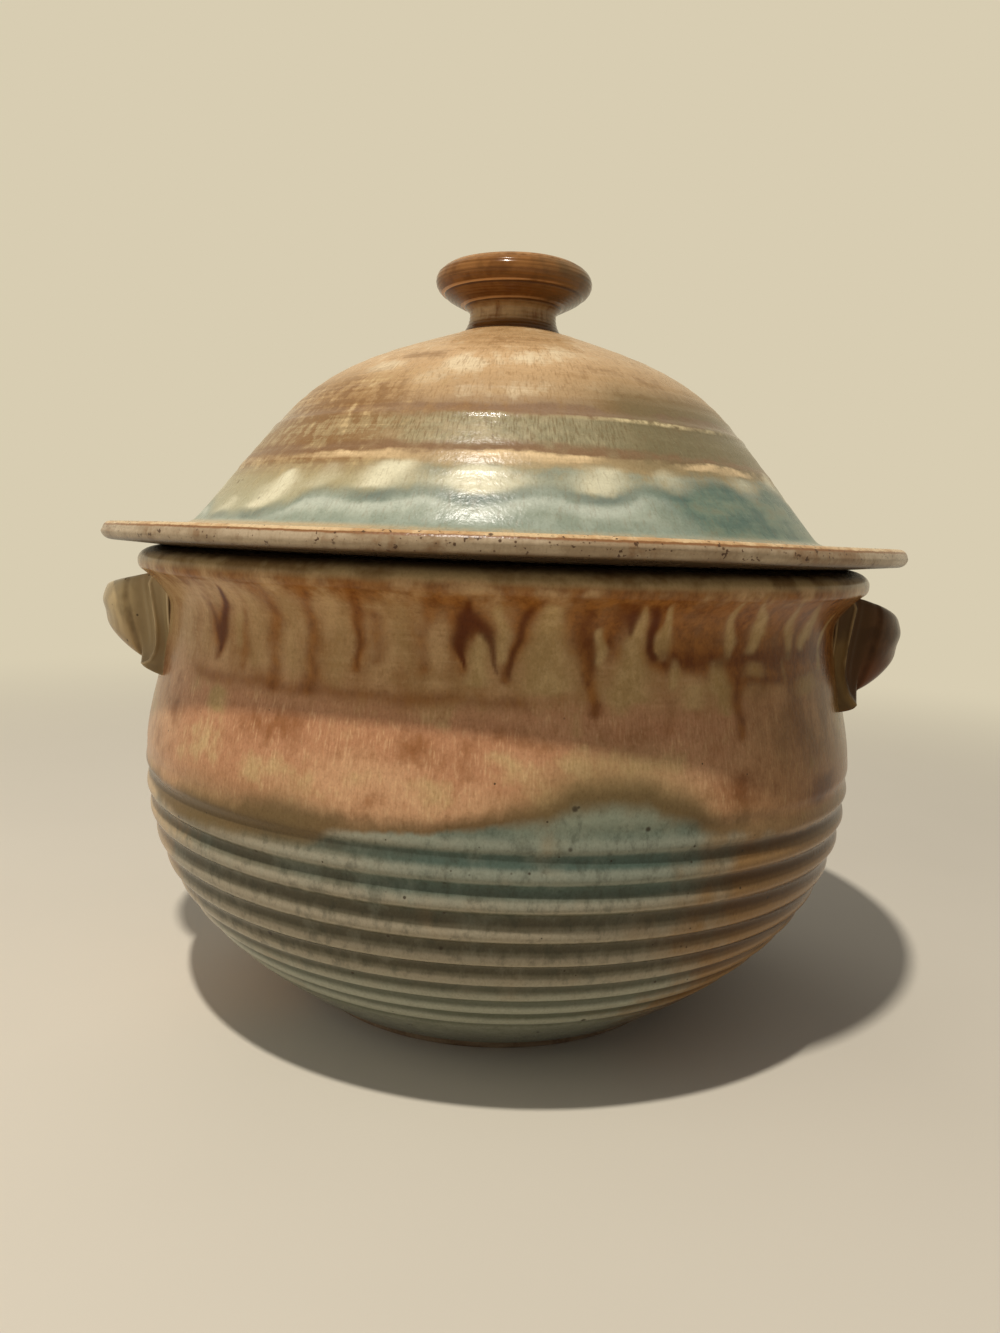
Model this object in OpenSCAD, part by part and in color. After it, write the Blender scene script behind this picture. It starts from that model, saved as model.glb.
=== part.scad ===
// Hand-thrown stoneware casserole: a ridged round pot with two strap handles, and a domed lid with
// a wide overhanging flange and a turned knob. The lid is loose and lifts straight off.
// Millimetres. The origin is on the table at the centre of the foot, +Z is up and +X is to the right.

/* [Pot] */
// Height of the rim's flat seat above the table
seat_z = 152; // [135:1:180]
// Diameter of the belly over the ridge crests
belly_d = 243; // [215:1:280]
// Height of the widest part of the belly
belly_z = 82; // [70:1:95]
// How far the rim stands out beyond the belly, on each side
rim_out = 2; // [-6:0.5:8]
// How far the neck lies inside the rim, on each side
neck_in = 9; // [6:0.5:13]
// How far the narrowest part of the neck lies below the seat
neck_drop = 19; // [16:0.5:26]
// Height of the rounded lip
lip_h = 8; // [6:0.5:11]
// Width of the rim from the tip of the lip to the outer edge of the flat seat
lip_w = 8.5; // [6:0.5:9.5]
// How much wider the mouth is at the seat than at the neck, on each side
mouth_flare = 2; // [1:0.5:3]
// Thickness of the wall
wall = 7; // [5:0.5:9]
// Thickness of the floor
floor_t = 8; // [6:0.5:12]
// Diameter of the pot's underside, where the wall starts
base_d = 140; // [135:1:165]
// Slope of the wall where it leaves the underside, in degrees
base_slope = 35.5; // [30:0.5:45]

/* [Foot ring] */
// Outside diameter of the foot ring on the table
foot_d = 132; // [110:1:134]
// Height of the foot ring
foot_h = 4; // [3:0.5:8]
// Width of the foot ring
foot_w = 9; // [6:0.5:16]

/* [Throwing ridges] */
// Distance along the wall from one ridge crest to the next
ridge_pitch = 8.2; // [6:0.1:11]
// Depth of the grooves between the crests
ridge_depth = 1.3; // [0.5:0.1:2]
// Distance along the wall from the underside to the lowest crest
ridge_start = 33; // [20:1:45]
// Number of crests, the upper ones fading out
ridge_count = 11; // [6:1:13]

/* [Handles] */
// Distance over the two ends of a strap, along the pot
handle_span = 97; // [80:1:120]
// How far a strap stands out of the neck
handle_reach = 24; // [21:0.5:34]
// Thickness of a strap
handle_t = 9.5; // [7:0.5:12]
// Height of a strap at its ends, where it is pressed on to the wall
handle_end_h = 34.5; // [28:0.5:38]
// Height of a strap in its middle
handle_mid_h = 14; // [11:0.5:22]
// How far the tops of a strap's ends lie below the seat
handle_drop = 7.5; // [6:0.5:14]
// How much higher the middle of the left strap is than its ends, at the centre line
left_handle_lift = 3.5; // [-3:0.5:5]
// How much higher the middle of the right strap is than its ends, at the centre line
right_handle_lift = 1; // [-3:0.5:5]
// How far a strap leans out at its top, in degrees
handle_lean = 8.5; // [0:0.5:15]

/* [Lid] */
// How far the lid's flange stands out beyond the pot's rim, on each side
flange_out = 10.5; // [4:0.5:18]
// Thickness of the flange at its edge
flange_t = 5.5; // [4:0.5:8]
// How far the flange's underside rises from the seat to its edge
flange_rise = 1.6; // [1:0.1:4]
// How far the foot of the dome lies inside the pot's rim, on each side
dome_in = 18; // [15:0.5:24]
// Height of the top of the dome above the seat
dome_h = 76; // [62:1:95]
// How far the shoulder of the dome lies inside the foot of the dome, on each side
shoulder_in = 23; // [18:0.5:30]
// Height of the shoulder above the seat
shoulder_h = 38; // [30:1:46]
// Thickness of the dome
lid_wall = 6.5; // [5:0.5:8]

/* [Locating ring] */
// How far the ring under the lid reaches into the mouth
ring_depth = 10; // [6:0.5:14]
// Width of the ring
ring_w = 5.5; // [4:0.5:8]
// Gap between the ring and the wall of the neck
ring_gap = 1.8; // [1:0.1:4]

/* [Knob] */
// Diameter of the knob
knob_d = 54; // [44:1:66]
// Height of the knob above the dome
knob_h = 22; // [20:0.5:30]
// Diameter of the knob's base on the dome
knob_base_d = 34; // [30:0.5:40]
// Diameter of the waist between base and knob
knob_waist_d = 30; // [22:0.5:30]
// Height of the waist above the dome
knob_waist_z = 6.5; // [4:0.5:9]
// Height of the knob's widest line above the dome
knob_edge_z = 17; // [13:0.5:18]
// Depth of the dish in the top of the knob
knob_dish = 1.2; // [0.5:0.1:2.5]

/* [Hidden] */
$fn = 96;

// Radii and levels
belly_r = belly_d / 2;
rim_r = belly_r + rim_out;
neck_r = rim_r - neck_in;
base_r = base_d / 2;
foot_r = foot_d / 2;
flange_r = rim_r + flange_out;
dome_r = rim_r - dome_in;
neck_z = seat_z - neck_drop;
floor_z = foot_h + floor_t;
lip_z = seat_z - lip_h;
seat_out_r = rim_r - lip_w;
mouth_r = neck_r - wall;
seat_in_r = mouth_r + mouth_flare;
ring_out_r = mouth_r - ring_gap;
ring_in_r = ring_out_r - ring_w;
dome_z = seat_z + dome_h;
knob_base_r = knob_base_d / 2;

// A cubic curve with n steps, without its last point, so that runs can be joined
function bezier(a, b, c, d, t) =
    pow(1 - t, 3) * a + 3 * pow(1 - t, 2) * t * b + 3 * (1 - t) * t * t * c + pow(t, 3) * d;
function curve(a, b, c, d, n) = [for (i = [0:n - 1]) bezier(a, b, c, d, i / n)];
function heading(angle) = [cos(angle), sin(angle)];
function clamp(x, low, high) = min(max(x, low), high);
function reversed(list) = [for (i = [len(list) - 1:-1:0]) list[i]];

// Unit normal at point i of an outline, on the right-hand side as it runs
function normal_at(p, i) =
    let (d = p[min(i + 1, len(p) - 1)] - p[max(i - 1, 0)])
    [d[1], -d[0]] / norm(d);
// The outline moved along its normals, each point by its own distance
function moved(p, by) = [for (i = [0:len(p) - 1]) p[i] + by[i] * normal_at(p, i)];
// Distance run along the outline up to each of its points
function run(p, done = [0]) =
    len(done) == len(p) ? done
    : run(p, concat(done, [done[len(done) - 1] + norm(p[len(done)] - p[len(done) - 1])]));

// Pot wall, from the underside to the neck, as a smooth line over the ridge crests
base_pull = 0.4 * (belly_z - foot_h);
belly_pull = 0.52 * (belly_z - foot_h);
neck_pull = 0.43 * (neck_z - belly_z);
wall_line = concat(
    curve([base_r, foot_h], [base_r, foot_h] + base_pull * heading(base_slope),
          [belly_r, belly_z - belly_pull], [belly_r, belly_z], 80),
    curve([belly_r, belly_z], [belly_r, belly_z + neck_pull],
          [neck_r, neck_z - neck_pull], [neck_r, neck_z], 36));

// Depth of the ridges' grooves at a distance along the wall
fade_in = 1;
fade_out = 4;
crest_sharpness = 1.3;
function ridge_share(k) = clamp((k + fade_in) / fade_in, 0, 1) * clamp((ridge_count - k) / fade_out, 0, 1);
function groove(along) =
    let (k = (along - ridge_start) / ridge_pitch)
    -ridge_depth * ridge_share(k) * (1 - pow((1 + cos(360 * k)) / 2, crest_sharpness));
wall_run = run(wall_line);
ridged_line = moved(wall_line, [for (along = wall_run) groove(along)]);

// Flare from the neck to the lip, and the lip itself
lip_corner_r = rim_r - 0.2 * lip_h;
tip_z = seat_z - 0.6 * lip_h;
flare_line = concat(
    curve([neck_r, neck_z], [neck_r, neck_z + 0.4 * (lip_z - neck_z)],
          [lip_corner_r - 0.45 * (lip_corner_r - neck_r), lip_z - 0.25 * (lip_z - neck_z)],
          [lip_corner_r, lip_z], 10),
    curve([lip_corner_r, lip_z], [rim_r - 0.05 * lip_h, lip_z + 0.08 * lip_h],
          [rim_r, tip_z - 0.2 * lip_h], [rim_r, tip_z], 5),
    curve([rim_r, tip_z], [rim_r, tip_z + 0.38 * lip_h],
          [seat_out_r + 0.5 * lip_w, seat_z], [seat_out_r, seat_z], 10));

// Inside of the pot: the neck's mouth, the wall and the rounded corner of the floor
seat_edge = 1;
mouth_line = curve([mouth_r, neck_z], [mouth_r, neck_z + 0.4 * neck_drop],
                   [seat_in_r, seat_z - 0.4 * neck_drop], [seat_in_r, seat_z - seat_edge], 8);
corner_h = 4;
corner_w = 12;
inner_wall = [for (p = moved(wall_line, [for (p = wall_line) -wall])) if (p[1] > floor_z + corner_h) p];
corner_end = [inner_wall[0][0] - corner_w, floor_z];
corner_line = curve(corner_end, corner_end + [0.6 * corner_w, 0],
                    inner_wall[0] - [0.25 * corner_w, 0.7 * corner_h], inner_wall[0], 6);

module pot_outline() {
    polygon(concat(
        [[0, foot_h]], ridged_line, flare_line,
        [[seat_out_r, seat_z], [seat_in_r + seat_edge, seat_z], [seat_in_r, seat_z - seat_edge]],
        reversed(mouth_line), reversed(inner_wall), reversed(corner_line), [[0, floor_z]]));
}

module pot_body() {
    color([0.62, 0.45, 0.31]) rotate_extrude() pot_outline();
}

module foot_ring() {
    foot_bevel = 1;
    foot_in_r = foot_r - foot_w;
    color([0.42, 0.43, 0.35]) rotate_extrude()
        polygon([[foot_in_r + foot_bevel, 0], [foot_r - foot_bevel, 0], [foot_r, foot_bevel],
                 [foot_r + foot_bevel, foot_h], [foot_in_r, foot_h], [foot_in_r, foot_bevel]]);
}

// Strap handle on the +X side. Its plan is half an ellipse on the neck's chord, run on into the wall.
handle_half = handle_span / 2;
chord_x = sqrt(neck_r * neck_r - handle_half * handle_half);
plan_a = neck_r + handle_reach - chord_x;
root_run = 14;
strap_steps = 28;
strap_sides = 20;
roundness_up = 0.8;
roundness_out = 0.75;
function signed_power(c, e) = sign(c) * pow(abs(c), e);
function strap_ring(angle, into, lift) =
    let (ends = 1 - cos(angle),
         h = handle_mid_h + (handle_end_h - handle_mid_h) * ends,
         end_z = seat_z - handle_drop - handle_end_h / 2,
         z = end_z + lift * (1 - ends),
         n = [cos(angle) / plan_a, sin(angle) / handle_half],
         out = n / norm(n),
         middle = [chord_x + plan_a * cos(angle) - into, handle_half * sin(angle)] - handle_t / 2 * out)
    [for (j = [0:strap_sides - 1])
        let (turn = 360 * j / strap_sides,
             rise = h / 2 * signed_power(sin(turn), roundness_up),
             across = handle_t / 2 * signed_power(cos(turn), roundness_out) + tan(handle_lean) * rise)
        [middle[0] + across * out[0], middle[1] + across * out[1], z + rise]];
module strap(lift) {
    angles = [for (i = [0:strap_steps]) -90 + 180 * i / strap_steps];
    rings = concat([strap_ring(-90, root_run, lift)], [for (a = angles) strap_ring(a, 0, lift)],
                   [strap_ring(90, root_run, lift)]);
    last = len(rings) - 1;
    sides = strap_sides;
    points = [for (ring = rings) each ring];
    skin = [for (i = [0:last - 1], j = [0:sides - 1])
        let (a = i * sides + j, b = i * sides + (j + 1) % sides)
        each [[a, b, a + sides], [b, b + sides, a + sides]]];
    first_cap = [for (j = [sides - 1:-1:0]) j];
    last_cap = [for (j = [0:sides - 1]) last * sides + j];
    polyhedron(points, concat(skin, [first_cap, last_cap]));
}

// What the pot's outside fills in the handles' zone, with the same faces as the pot
module handle_seat() {
    zone = [for (p = ridged_line) if (p[1] > belly_z) p];
    rotate_extrude()
        polygon(concat([[0, zone[0][1]]], zone, flare_line, [[seat_out_r, seat_z], [0, seat_z]]));
}

module left_handle() {
    color([0.47, 0.42, 0.30]) difference() {
        mirror([1, 0, 0]) strap(left_handle_lift);
        handle_seat();
    }
}

module right_handle() {
    color([0.43, 0.34, 0.26]) difference() {
        strap(right_handle_lift);
        handle_seat();
    }
}

// Lid: dome from the knob's base over the shoulder to its root, then the flange with a round edge
shoulder = [dome_r - shoulder_in, seat_z + shoulder_h];
flange_under_z = seat_z + flange_rise;
flange_top_z = flange_under_z + flange_t;
root_step = 2.2;
dome_root = [dome_r, flange_top_z + root_step];
crown_slope = -19;
shoulder_slope = -50.5;
crown_run = shoulder[0] - knob_base_r;
skirt_run = dome_root[0] - shoulder[0];
crown_line = curve([knob_base_r, dome_z], [knob_base_r, dome_z] + 0.62 * crown_run * heading(crown_slope),
                   shoulder - 0.42 * crown_run * heading(shoulder_slope), shoulder, 32);
skirt_line = concat(
    curve(shoulder, shoulder + 0.62 * skirt_run * heading(shoulder_slope),
          dome_root - 0.33 * skirt_run * heading(shoulder_slope), dome_root, 14), [dome_root]);
dome_line = concat(crown_line, skirt_line);
root_fillet = 6;
fillet_line = curve(dome_root, dome_root + 0.35 * root_fillet * heading(shoulder_slope),
                    [dome_root[0] + 0.5 * root_fillet, flange_top_z],
                    [dome_root[0] + root_fillet, flange_top_z], 6);
edge_r = flange_t / 2;
edge_steps = 12;
edge_line = [for (i = [0:edge_steps])
    [flange_r - edge_r, flange_under_z + edge_r] + edge_r * heading(90 - 180 * i / edge_steps)];
inner_dome = moved(dome_line, [for (p = dome_line) lid_wall]);

module lid_dome() {
    color([0.70, 0.62, 0.47]) rotate_extrude()
        polygon(concat(
            [[0, dome_z]], dome_line, fillet_line, [[dome_root[0] + root_fillet, flange_top_z]], edge_line,
            [[seat_out_r, seat_z], [ring_in_r, seat_z]],
            reversed(inner_dome), [[0, inner_dome[0][1]]]));
}

module lid_locating_ring() {
    ring_bevel = 1.5;
    ring_low_z = seat_z - ring_depth;
    color([0.60, 0.52, 0.42]) rotate_extrude()
        polygon([[ring_in_r, seat_z], [ring_in_r, ring_low_z + ring_bevel], [ring_in_r + ring_bevel, ring_low_z],
                 [ring_out_r - ring_bevel, ring_low_z], [ring_out_r, ring_low_z + ring_bevel],
                 [ring_out_r, seat_z]]);
}

// Knob: a waisted stem under a wide rounded disc with a dished top
knob_r = knob_d / 2;
waist = [knob_waist_d / 2, dome_z + knob_waist_z];
knob_edge = [knob_r, dome_z + knob_edge_z];
knob_top_z = dome_z + knob_h;
lip_round = 5;
knob_lip = [knob_r - lip_round, knob_top_z];
base_flare = 1;
dish_r = 0.3 * knob_r;
dish_z = knob_top_z - knob_dish;
under_h = knob_edge[1] - waist[1];
over_h = knob_top_z - knob_edge[1];
knob_line = concat(
    curve([knob_base_r, dome_z], [knob_base_r - base_flare, dome_z + 0.3 * knob_waist_z],
          waist - [0, 0.5 * knob_waist_z], waist, 6),
    curve(waist, waist + [0, 0.28 * under_h], knob_edge - [0, 0.55 * under_h], knob_edge, 14),
    curve(knob_edge, knob_edge + [0, 0.5 * over_h], knob_lip + [0.5 * lip_round, 0], knob_lip, 8),
    curve(knob_lip, knob_lip - [0.4 * lip_round, 0], [0.55 * knob_r, dish_z], [dish_r, dish_z], 6));

module lid_knob() {
    color([0.55, 0.32, 0.16]) rotate_extrude()
        polygon(concat([[0, dome_z]], knob_line, [[dish_r, dish_z], [0, dish_z]]));
}

pot_body();
foot_ring();
left_handle();
right_handle();
lid_dome();
lid_locating_ring();
lid_knob();
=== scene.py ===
import math
import random

import bpy
import numpy as np
from mathutils import Matrix, Vector


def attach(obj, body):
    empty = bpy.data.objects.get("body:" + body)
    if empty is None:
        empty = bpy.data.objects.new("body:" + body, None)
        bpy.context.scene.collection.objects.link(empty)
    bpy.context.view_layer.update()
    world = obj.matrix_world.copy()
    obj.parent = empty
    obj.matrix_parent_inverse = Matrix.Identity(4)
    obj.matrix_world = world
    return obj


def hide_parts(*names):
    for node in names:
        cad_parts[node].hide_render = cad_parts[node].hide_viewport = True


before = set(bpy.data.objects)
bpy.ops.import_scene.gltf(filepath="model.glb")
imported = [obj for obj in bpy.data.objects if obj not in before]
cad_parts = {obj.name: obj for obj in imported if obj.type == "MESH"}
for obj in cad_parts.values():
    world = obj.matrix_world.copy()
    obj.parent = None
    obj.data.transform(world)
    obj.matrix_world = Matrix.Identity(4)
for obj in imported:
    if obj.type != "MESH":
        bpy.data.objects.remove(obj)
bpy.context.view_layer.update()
mm = 0.001
print("frame loaded:", len(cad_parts), "solids")


# lines of a pot's outline, as radius and height in millimetres

def bend(a, b, c, d, steps):                      # cubic curve, without its last point
    t = np.linspace(0, 1, steps, endpoint=False)[:, None]
    a, b, c, d = (np.array(p, float) for p in (a, b, c, d))
    return a * (1 - t) ** 3 + 3 * b * t * (1 - t) ** 2 + 3 * c * t * t * (1 - t) + d * t ** 3


def heading(degrees):
    return np.array([math.cos(math.radians(degrees)), math.sin(math.radians(degrees))])


def runLength(line):
    return np.concatenate([[0], np.cumsum(np.linalg.norm(np.diff(line, axis=0), axis=1))])


def evenly(line, step):                           # the same line with its points a step apart
    run = runLength(line)
    marks = np.linspace(0, run[-1], max(2, round(run[-1] / step)) + 1)
    return np.stack([np.interp(marks, run, line[:, k]) for k in (0, 1)], 1)


def straight(a, b, step):                         # points about a step apart, from a to b
    return evenly(np.array([a, b], float), step)


def outward(line):                                # unit normals, on the right as the line runs
    d = np.gradient(line, axis=0)
    n = np.stack([d[:, 1], -d[:, 0]], 1)
    return n / np.maximum(np.linalg.norm(n, axis=1), 1e-9)[:, None]


def smooth(x, low, high):                         # 0 at low, 1 at high
    t = np.clip((x - low) / (high - low), 0, 1)
    return t * t * (3 - 2 * t)


def hump(x):                                      # 1 at 0, dying away by 2
    return np.exp(-np.square(x))


def roundTheWheel(marks):                         # smooth closed curve through (degrees, value) marks
    at, value = zip(*marks)
    fine = np.arange(-180, 180, 0.5)
    level = np.interp(fine, at, value, period=360)
    weight = np.hanning(13)
    weight /= weight.sum()
    level = np.convolve(np.concatenate([level[-12:], level, level[:12]]), weight, "same")[12:-12]
    return lambda degrees: np.interp(degrees, fine, level, period=360)


# meshes

def addMesh(name, points, faces, marks=()):
    mesh = bpy.data.meshes.new(name)
    mesh.from_pydata((points * mm).tolist(), [], faces)
    for key, value in dict(marks).items():        # marks are read by the glazes
        mark = mesh.attributes.new(key, "FLOAT_VECTOR", "POINT")
        mark.data.foreach_set("vector", np.ascontiguousarray(value, np.float32).ravel())
    mesh.polygons.foreach_set("use_smooth", np.ones(len(mesh.polygons), bool))
    mesh.update()
    piece = bpy.data.objects.new(name, mesh)
    bpy.context.scene.collection.objects.link(piece)
    return piece


def chain(loop, columns):                         # each column's points along a loop, up to the next column
    if len(loop) == 1:
        return np.repeat(loop, columns)[:, None]
    rows = loop.reshape(columns, -1)
    return np.hstack([rows, np.roll(rows[:, :1], -1, 0)])


def throw(name, line, around, push=None, paint=None, closed=False, finer=None):
    # spins a line round the axis; push moves points along their normals, paint gives their marks,
    # finer is a stretch of the line that gets three times as many points round
    size = len(line)
    skip = np.ones(size, int)
    if finer:
        skip[:finer[0]] = 3
        skip[finer[1]:] = 3
        around = around * 3
    turn = np.radians(np.arange(around) * 360 / around - 180)
    run = runLength(line)
    out = outward(line)
    amount = push(run, line, turn) if push else np.zeros((size, around))
    radius = np.maximum(line[:, :1] + amount * out[:, :1], 0)
    height = line[:, 1:] + amount * out[:, 1:]
    points = np.stack([radius * np.sin(turn), -radius * np.cos(turn), height], -1)
    keep = np.arange(around) % skip[:, None] == 0
    if not closed:
        keep[[0, -1], 1:] = False                 # a line's ends on the axis become one point each
    ids = (np.cumsum(keep) - 1).reshape(size, around)
    loops = [row[kept] for row, kept in zip(ids, keep)]
    if closed:
        loops.append(loops[0])
    faces = []
    for a, b in zip(loops, loops[1:]):
        columns = min(len(p) for p in (a, b) if len(p) > 1)
        faces += np.hstack([chain(a, columns), chain(b, columns)[:, ::-1]]).tolist()
    marks = {}
    if paint:
        marks = {key: value[keep] for key, value in paint(run, line, turn).items()}
    return addMesh(name, points[keep], faces, marks)


def place(piece, body, node, finish):
    piece.data.materials.append(finish)
    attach(piece, body)
    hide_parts(node)
    print("made", piece.name, len(piece.data.vertices), "points")


# shaders

class Wire:                                       # a node's output that can stand in a sum
    def __init__(self, finish, socket):
        self.finish = finish
        self.socket = socket

    def __add__(self, other):
        return self.finish.sum("ADD", self, other)

    def __sub__(self, other):
        return self.finish.sum("SUBTRACT", self, other)

    def __rsub__(self, other):
        return self.finish.sum("SUBTRACT", other, self)

    def __mul__(self, other):
        return self.finish.sum("MULTIPLY", self, other)

    def __truediv__(self, other):
        return self.finish.sum("DIVIDE", self, other)

    __radd__ = __add__
    __rmul__ = __mul__


class Nodes:                                      # the nodes of a material or of the world
    def __init__(self, owner):
        self.owner = owner
        owner.use_nodes = True
        self.tree = owner.node_tree
        self.tree.nodes.clear()

    def node(self, kind, settings=(), values=(), out=0):
        made = self.tree.nodes.new(kind)
        for key, value in dict(settings).items():
            if key == "stops":
                self.setStops(made.color_ramp, value)
            else:
                setattr(made, key, value)
        for key, value in dict(values).items():
            if isinstance(value, Wire):
                self.tree.links.new(value.socket, made.inputs[key])
            else:
                made.inputs[key].default_value = value
        if made.outputs:
            return Wire(self, made.outputs[out])

    def setStops(self, ramp, stops):
        while len(ramp.elements) < len(stops):
            ramp.elements.new(0.5)
        for element, (spot, colour) in zip(ramp.elements, stops):
            element.position = spot
            element.color = tone(colour)

    def sum(self, operation, a, b):
        return self.node("ShaderNodeMath", {"operation": operation}, {0: a, 1: b})

    def vector(self, operation, a, b=(0, 0, 0), out=0, **more):
        return self.node("ShaderNodeVectorMath", {"operation": operation}, {0: a, 1: b, **more}, out)

    def split(self, a):
        made = self.node("ShaderNodeSeparateXYZ", (), {0: a})
        return [Wire(self, s) for s in made.socket.node.outputs]

    def seen(self):                               # 1 for rays that show a surface, 0 for those that light it
        rays = ("Is Camera Ray", "Is Glossy Ray", "Is Transmission Ray")
        camera, gloss, glass = (self.node("ShaderNodeLightPath", out=ray) for ray in rays)
        return self.sum("MAXIMUM", self.sum("MAXIMUM", camera, gloss), glass)


class Finish(Nodes):                              # a material; p is the place on the piece in millimetres
    def __init__(self, name):
        super().__init__(bpy.data.materials.new(name))
        self.p = self.vector("SCALE", self.node("ShaderNodeTexCoord", out="Object"), Scale=1 / mm)
        self.x, self.y, self.z = self.split(self.p)

    def mark(self, name):
        return self.split(self.node("ShaderNodeAttribute", {"attribute_name": name}, (), "Vector"))

    def noise(self, where, detail=2.0, rough=0.5):
        return self.node("ShaderNodeTexNoise", (), {"Vector": where, "Scale": 1.0, "Detail": detail,
                                                    "Roughness": rough})

    def stretch(self, x, y, z):
        return self.vector("MULTIPLY", self.p, (x, y, z))

    def rise(self, value, low, high):             # 0 at low, 1 at high
        return self.node("ShaderNodeMapRange", {"interpolation_type": "SMOOTHSTEP"},
                         {"Value": value, "From Min": low, "From Max": high})

    def band(self, value, low, full, past, high):  # 1 from full to past, 0 outside low and high
        return self.rise(value, low, full) * self.rise(value, high, past)

    def blend(self, share, under, over, how="MIX"):
        return self.node("ShaderNodeMix", {"data_type": "RGBA", "blend_type": how},
                         {0: share, 6: tone(under), 7: tone(over)}, 2)

    def coat(self, share, over, how="MIX"):       # lays one more colour over what is there
        self.colour = self.blend(share, self.colour, over, how)

    def ramp(self, value, stops):
        return self.node("ShaderNodeValToRGB", {"stops": stops}, {0: value})

    def downhill(self, level, across, down):      # streaks that run down from the middle, round the axis
        flat = self.node("ShaderNodeCombineXYZ", (), {0: self.x, 1: self.y})
        rim = self.vector("SCALE", self.vector("NORMALIZE", flat), Scale=across)
        return self.vector("ADD", rim, self.node("ShaderNodeCombineXYZ", (), {2: level * down}))

    def specks(self, size, share):                # small iron spots, in some of the cells only
        cells = self.node("ShaderNodeTexVoronoi", (), {"Vector": self.p, "Scale": size, "Randomness": 1.0})
        chance = self.split(Wire(self, cells.socket.node.outputs["Color"]))[0]
        return self.rise(cells, 0.11, 0.05) * self.rise(chance, 1 - share, 1 - share + 0.02)

    def glossy(self, rough, height, depth, shine):
        bump = self.node("ShaderNodeBump", (), {"Height": height, "Strength": 1.0, "Distance": depth * mm},
                         "Normal")
        glaze = self.node("ShaderNodeBsdfPrincipled", (), {
            "Base Color": self.colour, "Roughness": rough, "Normal": bump, "Specular IOR Level": shine})
        self.node("ShaderNodeOutputMaterial", (), {"Surface": glaze})
        return self.owner


def tone(colour):                                 # three numbers are a colour as seen, 0 to 255
    if not isinstance(colour, tuple) or len(colour) != 3:
        return colour                             # a wire, or a factor
    seen = [c / 255 for c in colour]
    return tuple(c / 12.92 if c <= 0.04045 else ((c + 0.055) / 1.055) ** 2.4 for c in seen) + (1.0,)


# pot

pot = {
    "base": (70, 4), "baseSlope": 35.5, "belly": (121.5, 82), "neck": (114.5, 133), "wall": 7,
    "lip": (121.9, 144), "tip": (123.5, 147.2), "seat": (115, 152), "seatInner": 110.5, "mouth": 109.5,
    "floor": 12, "around": 400, "wallStep": 0.7, "fineFrom": 84,
    "ridgeStart": 33, "ridgePitch": 8.2, "ridgeDepth": 1.4, "ridgeSlope": 0.62,
    "ridgeDrift": [(31, 2.7), (40, 1.7), (47, 1.5), (55, 2.1), (63, 1.7), (71, 1.4), (80, 0.3), (110, 0)],
    "ridgeFade": [(6.5, 1), (7.2, 0.9), (8.1, 0.62), (8.7, 0.12), (9.4, 0)],   # ridges up, share left
}


def potWall():
    base, belly, neck = (np.array(pot[k], float) for k in ("base", "belly", "neck"))
    low = belly[1] - base[1]
    high = neck[1] - belly[1]
    return np.vstack([
        bend(base, base + 0.4 * low * heading(pot["baseSlope"]), belly - [0, 0.52 * low], belly, 120),
        bend(belly, belly + [0, 0.43 * high], neck - [0, 0.43 * high], neck, 60), [neck]])


wallLine = evenly(potWall(), pot["wallStep"])
wallEnd = runLength(wallLine)[-1]


def potLines():
    base, neck, lip, tip, seat = (np.array(pot[k], float) for k in ("base", "neck", "lip", "tip", "seat"))
    under = straight([0, base[1]], base - [1.5, 0], 4)
    corner = bend(base - [1.5, 0], base - [0.5, 0], base + [0.3, 0.2], wallLine[2], 4)
    flare = bend(neck, neck + [0, 4.4], lip - [3.3, 2.75], lip, 22)
    edge = np.vstack([bend(lip, lip + [1.2, 0.6], tip - [0, 1.6], tip, 8),
                      bend(tip, tip + [0, 3], seat + [4.2, 0], seat, 14)])
    top, mouth, bore = seat[1], pot["mouth"], neck[0] - pot["wall"]
    ease = 0.4 * (top - neck[1])
    rest = np.array([seat, [pot["seatInner"] + 0.2, top]])
    lipIn = bend(rest[1], [mouth + 0.3, top], [mouth, top - 0.3], [mouth, top - 1], 5)
    throat = bend([mouth, top - 1], [mouth, top - ease], [bore, neck[1] + ease], [bore, neck[1]], 16)
    inside = wallLine - pot["wall"] * outward(wallLine)
    inside = evenly(inside[inside[:, 1] > pot["floor"] + 4], 1.4)[::-1]
    foot = inside[-1]
    floor = bend(foot, foot - [3, 2.8], [foot[0] - 5, pot["floor"]], [foot[0] - 12, pot["floor"]], 10)
    flat = straight([foot[0] - 12, pot["floor"]], [0, pot["floor"]], 1.8)
    return [under, corner, wallLine[2:-1], flare, edge, rest, lipIn, throat, inside, floor, flat]


potParts = potLines()
potLine = np.vstack(potParts)
outsideEnd = sum(len(p) for p in potParts[:5])
wallFrom = len(potParts[0]) + len(potParts[1])
wallTo = wallFrom + len(potParts[2])
innerFrom = sum(len(p) for p in potParts[:8])
neckRows = (wallFrom + int(np.argmax(potParts[2][:, 1] > pot["fineFrom"])), outsideEnd)
onWall = np.zeros(len(potLine))
onWall[wallFrom:wallTo] = 1
wallArc = np.zeros(len(potLine))                  # length up the outside of the wall
wallArc[wallFrom:wallTo] = np.linspace(2 * pot["wallStep"], wallEnd, wallTo - wallFrom)


def ridgeWave(arc, turn):                         # the throwing spiral: 1 on its crest, 0 in its groove
    lower = arc + np.interp(arc, *zip(*pot["ridgeDrift"]))
    k = (lower[:, None] - pot["ridgeStart"]) / pot["ridgePitch"] + turn / (2 * math.pi)
    part = k - np.floor(k)
    slope = pot["ridgeSlope"]                     # gentle above each crest, steep below it
    fall = np.where(part < slope, part / slope, (1 - part) / (1 - slope))
    return (1 + np.cos(math.pi * fall)) / 2


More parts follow.
